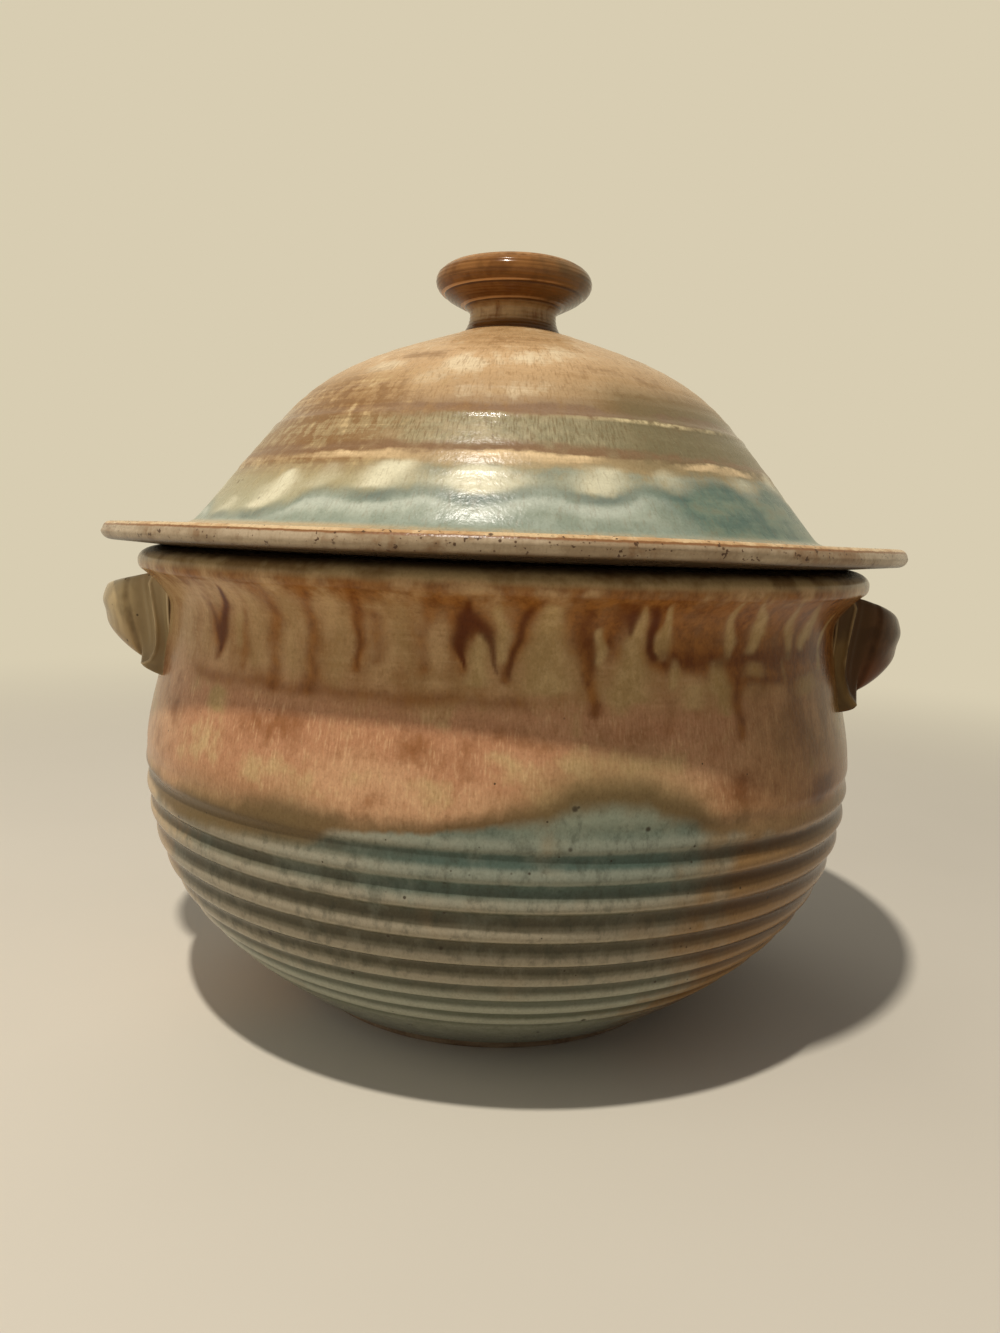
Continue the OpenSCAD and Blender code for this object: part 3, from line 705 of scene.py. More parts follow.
def strapPoints(side):
    own = handle[side]
    half = handle["span"] / 2
    neck = pot["neck"][0]
    chord = math.sqrt(neck ** 2 - half ** 2)
    deep = neck + handle["reach"] - chord
    turnIn, many = handle["turnIn"], handle["endRings"]    # degrees; the rings lie closer beyond it
    bends = np.concatenate([np.linspace(-90, -turnIn, many, endpoint=False),
                            np.linspace(-turnIn, turnIn, handle["midRings"], endpoint=False),
                            np.linspace(turnIn, 90, many + 1)])
    phi = np.radians(bends)[:, None]
    ends = 1 - np.maximum(np.cos(phi), 0) ** own["full"]
    tall = handle["midHeight"] + (handle["endHeight"] - handle["midHeight"]) * ends
    level = handle["endTop"] - handle["endHeight"] / 2 + own["lift"] * (1 - ends)
    outX, outY = np.cos(phi) / deep, np.sin(phi) / half
    size = np.hypot(outX, outY)
    outX, outY = outX / size, outY / size
    turn = np.linspace(0, 2 * math.pi, handle["sides"], endpoint=False)[None, :]
    v = power(np.sin(turn), 0.86)
    rise = tall / 2 * v
    across = handle["thick"] / 2 * power(np.cos(turn), 0.82)
    # how far each ring stands off the wall
    middleX = chord + deep * np.cos(phi) - handle["thick"] / 2 * outX
    middleY = half * np.sin(phi) - handle["thick"] / 2 * outY
    off = np.hypot(chord + deep * np.cos(phi), half * np.sin(phi)) - neck
    # thumb marks across the outer face near the ends: place, half width and height of each
    face = np.clip(np.cos(turn), 0, 1) ** 0.5
    fold = foldLine(v)
    spot, wide, low = handle["groove"]
    press = -low * hump((off - spot) / wide) * (1 - 0.45 * v ** 2)
    press = press + 0.4 * hump((off - spot + 0.4 - 0.5 * v) / 0.8) * smooth(v, -0.9, -0.2)
    wide, high = handle["fold"]
    press = press + high * hump((off - fold) / wide)
    press = press - handle["leaf"] * hump((off - fold * 0.52) / (fold * 0.32)) * (1 - np.abs(v) ** 4)
    spot, wide, high = handle["bead"]
    press = press + high * hump((off - spot) / wide)
    spot, wide, high = handle["step"]
    press = press - high * smooth(off - 0.8 * v, spot + wide, spot - wide)
    across = across + press * face * smooth(np.abs(phi), 0.5, 0.9)
    # pulled lines along the strap, and the waist of its middle
    across = across + face * 0.22 * np.sin(v * 7.0 + 0.5 * np.sin(3 * phi)) * smooth(np.abs(phi), 1.1, 0.7)
    rise = rise - own["nub"] * np.clip(-v, 0, 1) ** 4 * np.clip(1 - (off / own["nubWide"]) ** 8, 0, 1) ** 0.5
    across = across + math.tan(math.radians(handle["lean"])) * rise
    lipShare = np.clip(1 - (off / handle["flareWide"]) ** 4, 0, 1) ** 0.6
    across = across + own["flare"] * np.clip(-v, 0, 1) ** 3 * lipShare
    points = np.stack([middleX + across * outX, middleY + across * outY, level + rise], -1)
    rounds = np.stack([off + 0 * turn, v + 0 * off, np.cos(turn) + 0 * off], -1)
    # the ends run on into the wall
    roots = []
    for ring in (points[0], points[-1]):
        deepIn = wallRadius(ring[:, 2]) - handle["rootDepth"]
        inX = np.sqrt(np.maximum(deepIn ** 2 - ring[:, 1] ** 2, 1))
        roots.append(np.stack([np.minimum(inX, ring[:, 0] - 0.5), ring[:, 1], ring[:, 2]], 1))
    points = np.concatenate([roots[0][None], points, roots[1][None]])
    rounds = np.concatenate([rounds[:1], rounds, rounds[-1:]])
    return points, rounds


def makeHandle(side):
    points, rounds = strapPoints(side)
    rings, sides = points.shape[:2]
    ids = np.arange(rings * sides).reshape(rings, sides)
    a, b = ids[:-1], np.roll(ids, -1, 1)[:-1]
    faces = np.stack([a, a + sides, b + sides, b], -1).reshape(-1, 4).tolist()
    faces += [ids[0].tolist(), ids[-1][::-1].tolist()]
    points = points.reshape(-1, 3)
    if side == "left":
        points = points * [-1, 1, 1]
        faces = [face[::-1] for face in faces]
    rounds = rounds.reshape(-1, 3)
    past = rounds[:, 0] - foldLine(rounds[:, 1])  # beyond the raised fold, or inside it
    return addMesh(side + "Handle", points, faces, {"glazeOne": rounds, "glazeTwo": np.stack([past] * 3, 1)})


def handleFinish(name, glaze):
    f = Finish(name)
    off, up, outer = f.mark("glazeOne")
    pastFold = f.mark("glazeTwo")[0]
    mottle = f.noise(f.stretch(0.14, 0.14, 0.11), 3, 0.55)
    peel = f.noise(f.stretch(0.5, 0.5, 0.4), 1)
    cloud = f.noise(f.stretch(0.05, 0.05, 0.06), 2)
    f.colour = f.blend(f.rise(mottle + (cloud - 0.5) * 0.5, 0.38, 0.62), glaze["face"], glaze["shade"])
    f.coat(f.rise(up + (cloud - 0.5) * 2, 0.3, -0.8) * 0.7, glaze["low"])
    front = f.rise(outer, 0.0, 0.4)
    # painted shade: the thumb-press flute darker, as in a recess
    press = f.rise(off + (mottle - 0.5) * 3, 12.5, 9.5) * front
    f.coat(press * 0.75, glaze["press"])
    leaf = f.blend(f.rise(up + (mottle - 0.5) * 0.8, -0.15, 0.35), glaze["leafLow"], glaze["leafTop"])
    f.coat(f.rise(pastFold, 0.5, -0.7) * front, leaf)
    # painted shade: darker inside the fold towards the wall
    f.coat(f.rise(pastFold, -0.4, -3.2) * front * f.rise(mottle, 0.2, 0.6) * 0.5, glaze["shade"])
    # pale glaze broken over the raised fold and the pad's edge, and partly a painted highlight along them
    edge = f.rise(pastFold * pastFold, 0.36, 0.03) + f.rise(off, 1.6, 0.9) * f.rise(off, 0.2, 0.7)
    worn = f.rise(mottle + (cloud - 0.5) * 0.8, 0.34, 0.62)
    f.coat(edge * front * worn * 0.75, glaze["lip"])
    fallen = off - up * 0.8
    # painted shade: a dark line along the step in the strap's face
    crease = f.band(fallen, 11.2, 12.0, 12.2, 13) * front
    f.coat(crease * f.rise(mottle, 0.2, 0.6) * 0.35, glaze["creaseShade"])
    rim = f.rise(up * up, 0.8, 0.99) * f.rise(off, 6, 14)
    f.coat(rim * f.rise(mottle, 0.3, 0.6) * 0.6, glaze["lip"])
    # painted shade: a dark line where the strap meets the wall
    f.coat(f.rise(off, 0.5, 0.1) * 0.8, glaze["creaseShade"])
    f.coat(f.specks(0.2, 0.3) * 0.8, (58, 44, 30))
    return f.glossy(0.2 + (mottle - 0.5) * 0.12, mottle * 0.7 + peel * 0.3, 0.14, glaze["shine"])


handleGlaze = {
    "left": {"face": (182, 158, 116), "shade": (152, 130, 92), "low": (154, 126, 86), "press": (148, 127, 92),
             "leafTop": (168, 148, 112), "leafLow": (158, 136, 98), "lip": (204, 182, 142),
             "creaseShade": (62, 44, 30), "shine": 0.13},
    "right": {"face": (94, 66, 43), "shade": (76, 53, 35), "low": (108, 67, 44), "press": (76, 56, 36),
              "leafTop": (92, 72, 48), "leafLow": (132, 106, 66), "lip": (158, 132, 92),
              "creaseShade": (44, 30, 18), "shine": 0.04},
}
for side, glaze in handleGlaze.items():
    handlePiece = makeHandle(side)
    handleLook = handleFinish(side + "HandleGlaze", glaze)
    place(handlePiece, "pot", side + "_handle", handleLook)


# lid

lid = {
    "seat": 152, "top": 228, "knobBase": 17, "shoulder": (82.5, 190), "root": (105.5, 161.3), "fillet": 6,
    "topSlope": -19, "skirtSlope": -50.5, "flange": 134, "flangeUnder": 153.6, "flangeThick": 5.5,
    "seatOuter": 115, "ringInner": 100.2, "wall": 6.5, "around": 420, "domeStep": 0.7, "edgeArc": 148.7,
    "throwLines": [(90, 2.6, 0.14), (74.4, 1.3, 0.26), (71, 2.4, -0.16)],      # arc, half width, height
}


def lidDomeLine():
    shoulder, root = np.array(lid["shoulder"], float), np.array(lid["root"], float)
    start = np.array([lid["knobBase"], lid["top"]], float)
    crown = shoulder[0] - start[0]
    skirt = root[0] - shoulder[0]
    off, down = heading(lid["topSlope"]), heading(lid["skirtSlope"])
    return np.vstack([
        bend(start, start + 0.62 * crown * off, shoulder - 0.42 * crown * down, shoulder, 90),
        bend(shoulder, shoulder + 0.62 * skirt * down, root - 0.33 * skirt * down, root, 40), [root]])


domeLine = evenly(lidDomeLine(), lid["domeStep"])


def lidLines():
    root = np.array(lid["root"], float)
    topZ = lid["flangeUnder"] + lid["flangeThick"]
    half = lid["flangeThick"] / 2
    soft = lid["fillet"]
    fillet = bend(root, root + 0.35 * soft * heading(lid["skirtSlope"]), [root[0] + soft / 2, topZ],
                  [root[0] + soft, topZ], 10)
    flat = straight([root[0] + soft, topZ], [lid["flange"] - half, topZ], 1)[:-1]
    edge = np.array([[lid["flange"] - half, lid["flangeUnder"] + half] + half * heading(90 - 180 * i / 20)
                     for i in range(21)])
    under = straight(edge[-1], [lid["seatOuter"], lid["seat"]], 1.2)[1:]
    seat = straight([lid["seatOuter"], lid["seat"]], [lid["ringInner"], lid["seat"]], 2)[1:]
    inner = evenly(domeLine + lid["wall"] * outward(domeLine), 1.6)   # it runs down, so this is its inside
    bottom = np.vstack([[[0, inner[0][1]]], straight([3, inner[0][1]], inner[0], 2)[:-1], inner])
    crown = np.vstack([domeLine[::-1], straight([lid["knobBase"] - 0.6, lid["top"]], [0, lid["top"]], 4)])
    return [bottom, seat[::-1], under[::-1], edge[::-1], flat[::-1], fillet[::-1], crown[1:]]


lidParts = lidLines()
lidLine = np.vstack(lidParts)
domeFrom = len(lidLine) - len(lidParts[6]) - len(lidParts[5]) - len(lidParts[4])
innerTo = len(lidParts[0]) + len(lidParts[1])
lidRun = runLength(lidLine)
lidArc = lid["edgeArc"] - lidRun + lidRun[innerTo + len(lidParts[2])]   # down the dome from the knob


def lidPush(run, line, turn):
    outer = (np.arange(len(line)) >= domeFrom).astype(float)[:, None]
    arc = lidArc[:, None]
    dome = outer * smooth(arc, 116, 108) * smooth(arc, 0, 6)
    rings = 0.06 * np.sin(arc * 0.93 + turn) + 0.035 * np.sin(arc * 1.71 - turn + 1)
    rings = rings + 0.015 * np.sin(arc * 3.1 + turn)
    push = dome * rings * (0.6 + 0.4 * np.sin(arc * 0.21 + 1.2))
    push = push + dome * sum(high * hump((arc - at) / wide) for at, wide, high in lid["throwLines"])
    push = push + dome * (0.2 * np.sin(2 * turn + 0.4) + 0.12 * np.sin(3 * turn + 1.9))
    edge = smooth(line[:, 0], 118, 134)[:, None] * (np.arange(len(line)) > innerTo)[:, None]
    up = np.sign(outward(line)[:, 1:]) * edge
    push = push + up * (0.22 * np.sin(3 * turn + 1.1) + 0.12 * np.sin(7 * turn))
    inner = (np.arange(len(line)) < len(lidParts[0])).astype(float)[:, None]
    spiral = np.sin(2 * math.pi * run[:, None] / 8.5 + turn)
    return push + inner * 0.24 * spiral * smooth(line[:, :1], 6, 20) * smooth(line[:, 1:], 158, 166)


# glaze on the lid, by angle and by arc down from the knob; drops as on the pot

lidGlaze = {
    "bands": [                                    # arc and colour
        (0, (176, 138, 94)), (6, (194, 158, 112)), (30, (194, 158, 114)), (46, (200, 164, 120)),
        (58, (192, 158, 116)), (66, (182, 151, 113)), (71, (158, 132, 104)), (74.4, (156, 132, 104)),
        (76.2, (162, 148, 114)), (84, (160, 146, 112)), (86.6, (150, 126, 96)), (88.6, (150, 124, 94)),
        (89.8, (178, 152, 114)), (91.8, (182, 158, 118)), (93.6, (170, 150, 110)), (98, (168, 152, 112)),
        (106, (174, 166, 132)), (113, (178, 172, 140)), (115.6, (190, 160, 116)), (119, (188, 166, 128)),
        (134, (184, 164, 128)), (139, (190, 166, 126)), (150, (160, 136, 104))],
    "blobs": [(0.95, -39.6, 97, 2.6, -40.4, 101, 4.4, -41.8, 105, 4.6, -43.6, 109, 3.0),
        (0.4, -30.5, 95, 2.4, -31.4, 99, 3.4, -32.6, 102, 2.4),
        (0.95, -18.6, 94, 3.4, -19.8, 98, 5.2, -21, 102, 3.8),
        (1.0, -3.6, 95.4, 5.0, -4.5, 99.6, 8.2, -5, 103.6, 5.6),
        (0.8, 16, 94, 3.6, 15, 98, 6.0, 14.4, 101.6, 4.2),
        (0.5, 27.4, 94, 3.4, 28, 97.5, 4.8, 28.6, 100.6, 3.0),
        (0.5, 47, 93.6, 4.4, 47, 97, 6.0, 47.6, 100, 3.8), (0.6, -53, 107, 3.0, -55, 111, 4.0),
        (0.6, 64, 89, 3.6, 63, 93, 4.4, 62.6, 96, 3.0)],
    "clouds": [                                   # angle, arc, half width, half length, paler or darker
        (-35, 51, 6, 3.6, 1.0), (-12, 52, 5, 5, 1.2), (4, 48, 6, 5, 0.5), (-20, 60, 4, 5, 0.6),
        (14, 42, 8, 5, 0.5), (-48, 63, 6, 5, -0.8), (-26, 45, 8, 4, -0.6), (-36, 70, 9, 7, -0.6),
        (2, 65.5, 11, 3, 0.55), (35, 52, 12, 8, -0.2), (52, 68, 15, 7, -0.9), (28, 68, 13, 5, -0.7),
        (-8, 73, 14, 2, -0.6), (-2, 32, 14, 6, -0.3), (-60, 86, 10, 6, 0.5)],
    "scallop": [(-180, 106), (-168, 110), (-150, 104), (-136, 109), (-120, 103), (-104, 110), (-92, 105),
        (-78, 110), (-66, 106), (-58, 113), (-50, 112.4), (-44, 112.6), (-40, 111.6), (-36.6, 108.6),
        (-33, 104.6), (-28, 103.6), (-22, 105.2), (-17, 104.6), (-13.6, 102.6), (-11, 102.2), (-8, 104.6),
        (-4.5, 105.8), (-0.5, 105), (3, 102.4), (6, 101.4), (9, 103), (13, 104.6), (17, 104.2), (20, 101.6),
        (22.5, 98.6), (26, 99.6), (30, 99.6), (35, 96), (41, 95), (45, 98.6), (50, 98.6), (55, 94),
        (62, 96), (74, 105), (88, 108), (100, 103), (114, 109), (130, 104), (144, 110), (160, 105),
        (170, 109)],
    "sea": [(-180, 0.3), (-150, 0.7), (-120, 0.3), (-90, 0.1), (-50, 0.0), (-20, 0.0), (3, 0.02),
        (11, 0.16), (17, 0.32), (21, 0.55), (25, 0.9), (56, 1.0), (74, 0.6), (100, 0.3), (130, 0.7),
        (155, 0.4)],
    "peach": [(-180, 0.6), (-150, 0.2), (-120, 0.8), (-90, 0.4), (-60, 0.2), (-42, 0.2), (-33, 0.7),
        (-18, 0.8), (-14, 0.4), (-8, 0.45), (-4.5, 0.95), (13, 1.0), (15.5, 0.4), (30, 0.45), (33, 0.95),
        (51, 1.0), (55, 0.2), (80, 0.7), (120, 0.3), (150, 0.8)],
    "bark": [(-180, 0.4), (-130, 0.2), (-90, 0.7), (-60, 0.9), (-40, 1.0), (-28, 0.8), (-18, 0.3), (0, 0.1),
        (20, 0.1), (60, 0.2), (100, 0.6), (140, 0.2)],
    "thread": [(-180, 0.2), (-140, 0.8), (-110, 0.1), (-60, 0.0), (-15, 0.0), (0, 0.1), (10, 0.15),
        (18, 0.4), (23, 0.95), (37, 1.0), (40, 0.3), (44, 0.3), (46, 0.8), (49, 0.6), (54, 0.1), (90, 0.2),
        (120, 0.9), (150, 0.3)],
    "mist": [(-180, 0.6), (-150, 0.2), (-120, 0.7), (-80, 0.3), (-50, 0.1), (-24, 0.1), (-14, 0.55),
        (-10, 0.8), (2, 0.75), (10, 0.9), (36, 0.8), (44, 0.6), (56, 0.9), (80, 0.7), (110, 0.2),
        (150, 0.7)],
}
for step in range(17):                            # more blobs and clouds round the back
    where = 74 + step * 13.5 + dice.uniform(-4, 4)
    lean = dice.uniform(-2, 2)
    lidGlaze["blobs"].append((dice.uniform(0.4, 1.0), where - lean, dice.uniform(93, 96), 2.6,
                              where, 99, dice.uniform(4, 8), where + lean, dice.uniform(102, 106), 3.0))
    lidGlaze["clouds"].append((where, dice.uniform(36, 80), dice.uniform(5, 13), dice.uniform(3, 7),
                               dice.uniform(-1, 1)))
scallop, sea, peach, bark, thread, mist = (
    roundTheWheel(lidGlaze[key]) for key in ("scallop", "sea", "peach", "bark", "thread", "mist"))


def lidPaint(run, line, turn):
    degrees = np.degrees(turn)[None, :]
    arc = lidArc[:, None] + 0 * degrees
    sway = degrees + 0.8 * ripple(degrees, arc)
    slip = arc + 0.7 * ripple(2 * degrees, 0.3 * arc)
    inside = (np.arange(len(line)) < innerTo)[:, None]
    slant = turnGap(degrees - (arc - 97) * 0.55, 0)
    flat = 0 * arc
    blobs = drops(sway, slip, lidGlaze["blobs"])
    beneath = drops(sway, slip - 5, lidGlaze["blobs"])
    cloud = patches(sway, slip, lidGlaze["clouds"])
    return {"glazeOne": np.stack([np.where(inside, 200.0, arc), blobs, arc - scallop(degrees)], -1),
            "glazeTwo": np.stack([sea(slant), peach(degrees) + flat, bark(degrees) + flat], -1),
            "glazeThree": np.stack([cloud, sea(degrees) + flat, thread(degrees) + flat], -1),
            "glazeFour": np.stack([mist(degrees) + flat, beneath, flat], -1)}


def lidFinish():
    f = Finish("lidGlaze")
    arc, pale, pastScallop = f.mark("glazeOne")
    sea, peach, bark = f.mark("glazeTwo")
    cloud, right, thread = f.mark("glazeThree")
    mist, beneath = f.mark("glazeFour")[:2]
    streak = f.noise(f.downhill(arc, 26, 0.1), 4, 0.6)
    fine = f.noise(f.downhill(arc, 150, 0.34), 1, 0.5)
    belt = f.noise(f.downhill(arc, 3.2, 0.2), 3, 0.55)
    rings = f.noise(f.downhill(arc, 2.2, 0.9), 3, 0.6)
    grain = f.noise(f.stretch(0.32, 0.32, 0.32), 4, 0.65)
    peel = f.noise(f.stretch(0.7, 0.7, 0.7), 1)
    salt = f.noise(f.stretch(1.5, 1.5, 1.5), 2, 0.6)
    mottle = f.noise(f.stretch(0.11, 0.11, 0.11), 3, 0.55)
    blotch = f.noise(f.stretch(0.026, 0.026, 0.026), 3)
    level = arc + (belt - 0.5) * 6 + (mottle - 0.5) * 3 + (grain - 0.5) * 1.6
    last = lidGlaze["bands"][-1][0]
    f.colour = f.ramp(level / last, [(spot / last, colour) for spot, colour in lidGlaze["bands"]])
    # upper dome: cream and brown clouds, drawn down a little
    upper = f.rise(arc, 90, 72)
    drift = cloud * 1.3 + (mottle - 0.5) * 1.8 + (streak - 0.5) * 1.4
    drift = drift + (grain - 0.5) * 0.8 + (rings - 0.5) * 0.9
    f.coat(f.rise(drift, 0.0, 1.0) * upper * 0.85, (226, 206, 170))
    f.coat(f.rise(drift, 0.0, -0.9) * upper * 0.85, (142, 104, 64))
    f.coat(f.rise(fine + (grain - 0.5) * 0.6, 0.5, 0.28) * upper * 0.3, (150, 112, 70))
    f.coat(f.rise(rings, 0.52, 0.36) * f.rise(arc, 34, 8) * 0.45, (152, 112, 70))
    # olive belt, mottled green, tan and brown with short strokes
    middle = f.band(level, 74, 77, 84, 89)
    strokes = streak * 0.5 + grain * 0.5 + (mottle - 0.5) * 0.5
    f.coat(middle * f.rise(strokes, 0.46, 0.66) * 0.6, (190, 172, 134))
    f.coat(middle * f.rise(strokes, 0.52, 0.34) * 0.6, (126, 116, 86))
    f.coat(middle * mist * 0.35, (146, 150, 126))
    threads = fine + (mottle - 0.5) * 0.5
    f.coat(middle * f.rise(threads, 0.5, 0.3) * 0.55, (116, 104, 76))
    f.coat(middle * f.rise(threads, 0.54, 0.74) * 0.4, (196, 184, 148))
    barkShare = bark * f.rise(arc, 44, 64) * f.rise(arc, 100, 90)
    f.coat(barkShare * 0.5, (166, 130, 82))
    fibres = strokes + (rings - 0.5) * 0.4
    f.coat(f.rise(fibres, 0.44, 0.58) * barkShare * 0.85, (124, 84, 42))
    f.coat(f.rise(fibres, 0.44, 0.32) * barkShare * 0.7, (212, 184, 136))
    olive = right * f.rise(arc, 54, 70) * f.rise(arc, 98, 88)
    f.coat(olive * 0.8, (120, 109, 78))
    plum = f.band(level, 69.8, 71.8, 73.8, 75.4) * (1 - bark * 0.7)
    f.coat(plum * f.rise(mottle + (streak - 0.5) * 0.5, 0.2, 0.6) * 0.7, (132, 102, 80))
    # painted shade: the right side of the dome multiplied darker, over its deeper olive glaze
    f.coat(right * f.rise(arc, 20, 60) * 0.7, (0.76, 0.74, 0.68, 1.0), "MULTIPLY")
    # a thin pale throwing line, and the broken peach line under the brown band
    thin = f.band(arc + (belt - 0.5) * 1.4, 74.0, 74.9, 75.2, 76.2)
    f.coat(thin * thread * f.rise(grain, 0.3, 0.6) * 0.9, (222, 202, 156))
    band = f.band(level, 84.6, 87.6, 88.2, 90)
    f.coat(band * f.rise(mottle + (streak - 0.5) * 0.5, 0.2, 0.6) * 0.75, (124, 92, 64))
    line = f.band(level, 88.6, 90.2, 90.4, 92.6)
    broken = f.rise(peach + (mottle - 0.5) * 1.8 + (grain - 0.5) * 0.8, 0.15, 1.2)
    f.coat(line * broken * 0.95, (228, 198, 152))
    # grey mist between the cream drops, then the sea glaze under their feet:
    # pale in front and deeper to the right
    f.coat(mist * f.rise(level, 91.6, 95.4) * f.rise(strokes, 0.2, 0.6), (138, 146, 130))
    cream = f.rise(pale + (mottle - 0.5) * 0.3 + (grain - 0.5) * 0.3, 0.0, 1.15)
    f.coat(cream, (226, 218, 186))
    past = pastScallop + (mottle - 0.5) * 3 + (grain - 0.5) * 1.5
    below = f.rise(past, -1.8, 2.6) * f.rise(arc, 117, 114)
    celadon = f.blend(f.rise(mottle + (streak - 0.5) * 0.7, 0.34, 0.66), (146, 154, 136), (174, 180, 162))
    crown = f.band(past + (belt - 0.5) * 3, 1.6, 3.4, 4, 8)
    celadon = f.blend(crown * 0.5, celadon, (202, 206, 190))
    celadon = f.blend(f.rise(arc + (belt - 0.5) * 4, 109.5, 114.5) * 0.65, celadon, (138, 148, 132))
    celadon = f.blend(f.rise(grain, 0.46, 0.28) * 0.4, celadon, (138, 148, 132))
    deep = f.blend(f.rise(mottle + (belt - 0.5) * 0.7, 0.28, 0.72), (78, 103, 94), (122, 137, 118))
    deep = f.blend(f.rise(belt + (mottle - 0.5) * 0.8, 0.5, 0.8) * 0.5, deep, (112, 102, 78))
    water = f.blend(f.rise(sea + (mottle - 0.5) * 0.7, 0.1, 0.9), celadon, deep)
    f.coat(below * (1 - cream * 0.6), water)
    shade = f.band(past, -3.6, 0.0, 0.6, 4.4) * f.rise(arc, 117, 113)
    f.coat(shade * (beneath * 0.65 + 0.2) * f.rise(mottle, 0.15, 0.5), (98, 112, 104))
    # flange edge: a thin pale worn line above that is partly a painted highlight, then a smooth rounded side
    # with painted shade darkening it below
    turned = arc + (grain - 0.5) * 0.7
    side = f.blend(f.rise(mottle + (belt - 0.5) * 0.6, 0.36, 0.64), (182, 162, 134), (160, 138, 110))
    side = f.blend(f.rise(strokes + (blotch - 0.5) * 0.5, 0.5, 0.66) * 0.6, side, (128, 92, 58))
    lip = f.blend(f.rise(mottle + (grain - 0.5) * 0.8, 0.34, 0.68), (214, 184, 140), (188, 148, 102))
    lip = f.blend(f.rise(turned, 142.0, 142.4), lip, (134, 92, 56))
    lip = f.blend(f.rise(turned, 142.6, 143.2), lip, side)
    # painted shade on the lower part of the flange's rounded side
    lip = f.blend(f.rise(turned, 145.4, 147.4) * 0.85, lip, (84, 66, 46))
    edge = f.rise(arc, 139.8, 140.8)
    f.coat(edge, lip)
    # painted shade: the flange's underside darkened
    f.coat(f.band(arc, 146.8, 147.8, 160, 170) * 0.9, (62, 48, 34))
    spots = f.specks(0.1, 0.3) + f.specks(0.19, 0.25)
    spots = spots + (f.specks(0.26, 0.8) + f.specks(0.14, 0.7) + f.specks(0.36, 0.8)) * edge
    flecks = f.rise(f.noise(f.stretch(0.7, 0.7, 0.7), 2, 0.55) + (mottle - 0.5) * 0.2, 0.64, 0.7) * edge
    f.coat((spots + flecks) * f.rise(arc, 84, 112) * 0.9, (74, 48, 30))
    f.coat(f.rise(fine, 0.48, 0.26) * 0.2, (126, 98, 64))
    f.coat(f.rise(salt, 0.5, 0.3) * 0.36, (0.72, 0.7, 0.66, 1.0), "MULTIPLY")
    f.coat(f.rise(salt, 0.52, 0.72) * 0.36, (1.2, 1.2, 1.2, 1.0), "MULTIPLY")
    sweep = f.noise(f.downhill(f.z, 2.4, 0.8), 3, 0.6)
    liner = linerGlaze(f, mottle, blotch, sweep, (198, 180, 142), (178, 152, 110), (152, 118, 78))
    f.coat(f.rise(arc, 160, 190), liner)
    glassy = f.band(arc, 66, 70, 76, 80)
    rough = 0.28 - glassy * 0.12 + (mottle - 0.5) * 0.14
    height = mottle * 0.6 + peel * 0.6 + grain * 0.4 + salt * 0.3
    return f.glossy(rough, height, 0.14, 0.22)


lidPiece = throw("lidDome", lidLine, lid["around"], lidPush, lidPaint)
place(lidPiece, "lid", "lid_dome", lidFinish())


# locating ring under the lid

ring = {"inner": 100.2, "outer": 105.7, "top": 152, "low": 142, "soft": 1.6, "around": 300}


def ringLine():
    inner, outer, top, low, soft = (ring[key] for key in ("inner", "outer", "top", "low", "soft"))
    return np.vstack([
        straight([inner + soft, low], [outer - soft, low], 0.8)[:-1],
        bend([outer - soft, low], [outer - 0.4, low], [outer, low + 0.4], [outer, low + soft], 7),
        straight([outer, low + soft], [outer, top], 1.2)[:-1],
        straight([outer, top], [inner, top], 1.4)[:-1],
        straight([inner, top], [inner, low + soft], 1.2)[:-1],
        bend([inner, low + soft], [inner, low + 0.4], [inner + 0.4, low], [inner + soft, low], 7)])


def ringPush(run, line, turn):
    low = smooth(line[:, 1:], 151.5, 148)
    return low * (0.12 * np.sin(3 * turn + 0.4) + 0.08 * np.sin(line[:, 1:] * 2.4 + turn))


ringPiece = throw("locatingRing", ringLine(), ring["around"], ringPush, closed=True)
place(ringPiece, "lid", "lid_locating_ring", bareClay)


# knob

knob = {
    "base": (17, 228), "waist": (15, 234.5), "edge": (27, 245), "top": 250, "lip": 5, "dish": 1.2,
    "around": 240,
    "grooves": [(8.8, 0.34, 0.34), (12.7, 0.34, 0.36), (20.4, 0.32, 0.3)],     # height, half width, depth
    "wornLines": (8.9, 12.8),                     # heights over the base, as those of the grooves
}


def knobLine():
    base, waist, edge = (np.array(knob[key], float) for key in ("base", "waist", "edge"))
    lip = np.array([edge[0] - knob["lip"], knob["top"]])
    rise = edge[1] - waist[1]
    over = knob["top"] - edge[1]
    dish = np.array([0.3 * edge[0], knob["top"] - knob["dish"]])
    outer = np.vstack([
        bend(base, base + [-1, 1.95], waist - [0, 3.25], waist, 16),
        bend(waist, waist + [0, 0.28 * rise], edge - [0, 0.55 * rise], edge, 40),
        bend(edge, edge + [0, 0.5 * over], lip + [2.5, 0], lip, 18),
        bend(lip, lip - [2, 0], [0.55 * edge[0], dish[1]], dish, 18), [dish]])
    return np.vstack([straight([0, base[1]], base - [0.4, 0], 3), evenly(outer, 0.32),
                      straight(dish, [0, dish[1]], 1.2)[1:]])


def knobPush(run, line, turn):
    z = line[:, 1:] - knob["base"][1]
    wide = smooth(line[:, :1], 8, 12)
    up = smooth(z, 0.4, 1.4)
    turned = -sum(deep * hump((z - at) / half) for at, half, deep in knob["grooves"])
    turned = turned + 0.06 * np.sin(run[:, None] * 4.6 + turn)
    turned = turned + 0.12 * np.sin(2 * turn + 1) + 0.07 * np.sin(3 * turn)
    dished = -0.1 * (1 + np.sin(line[:, :1] * 2.4)) * smooth(z, 20.5, 21)
    return wide * up * turned + dished * smooth(line[:, :1], 1, 4)


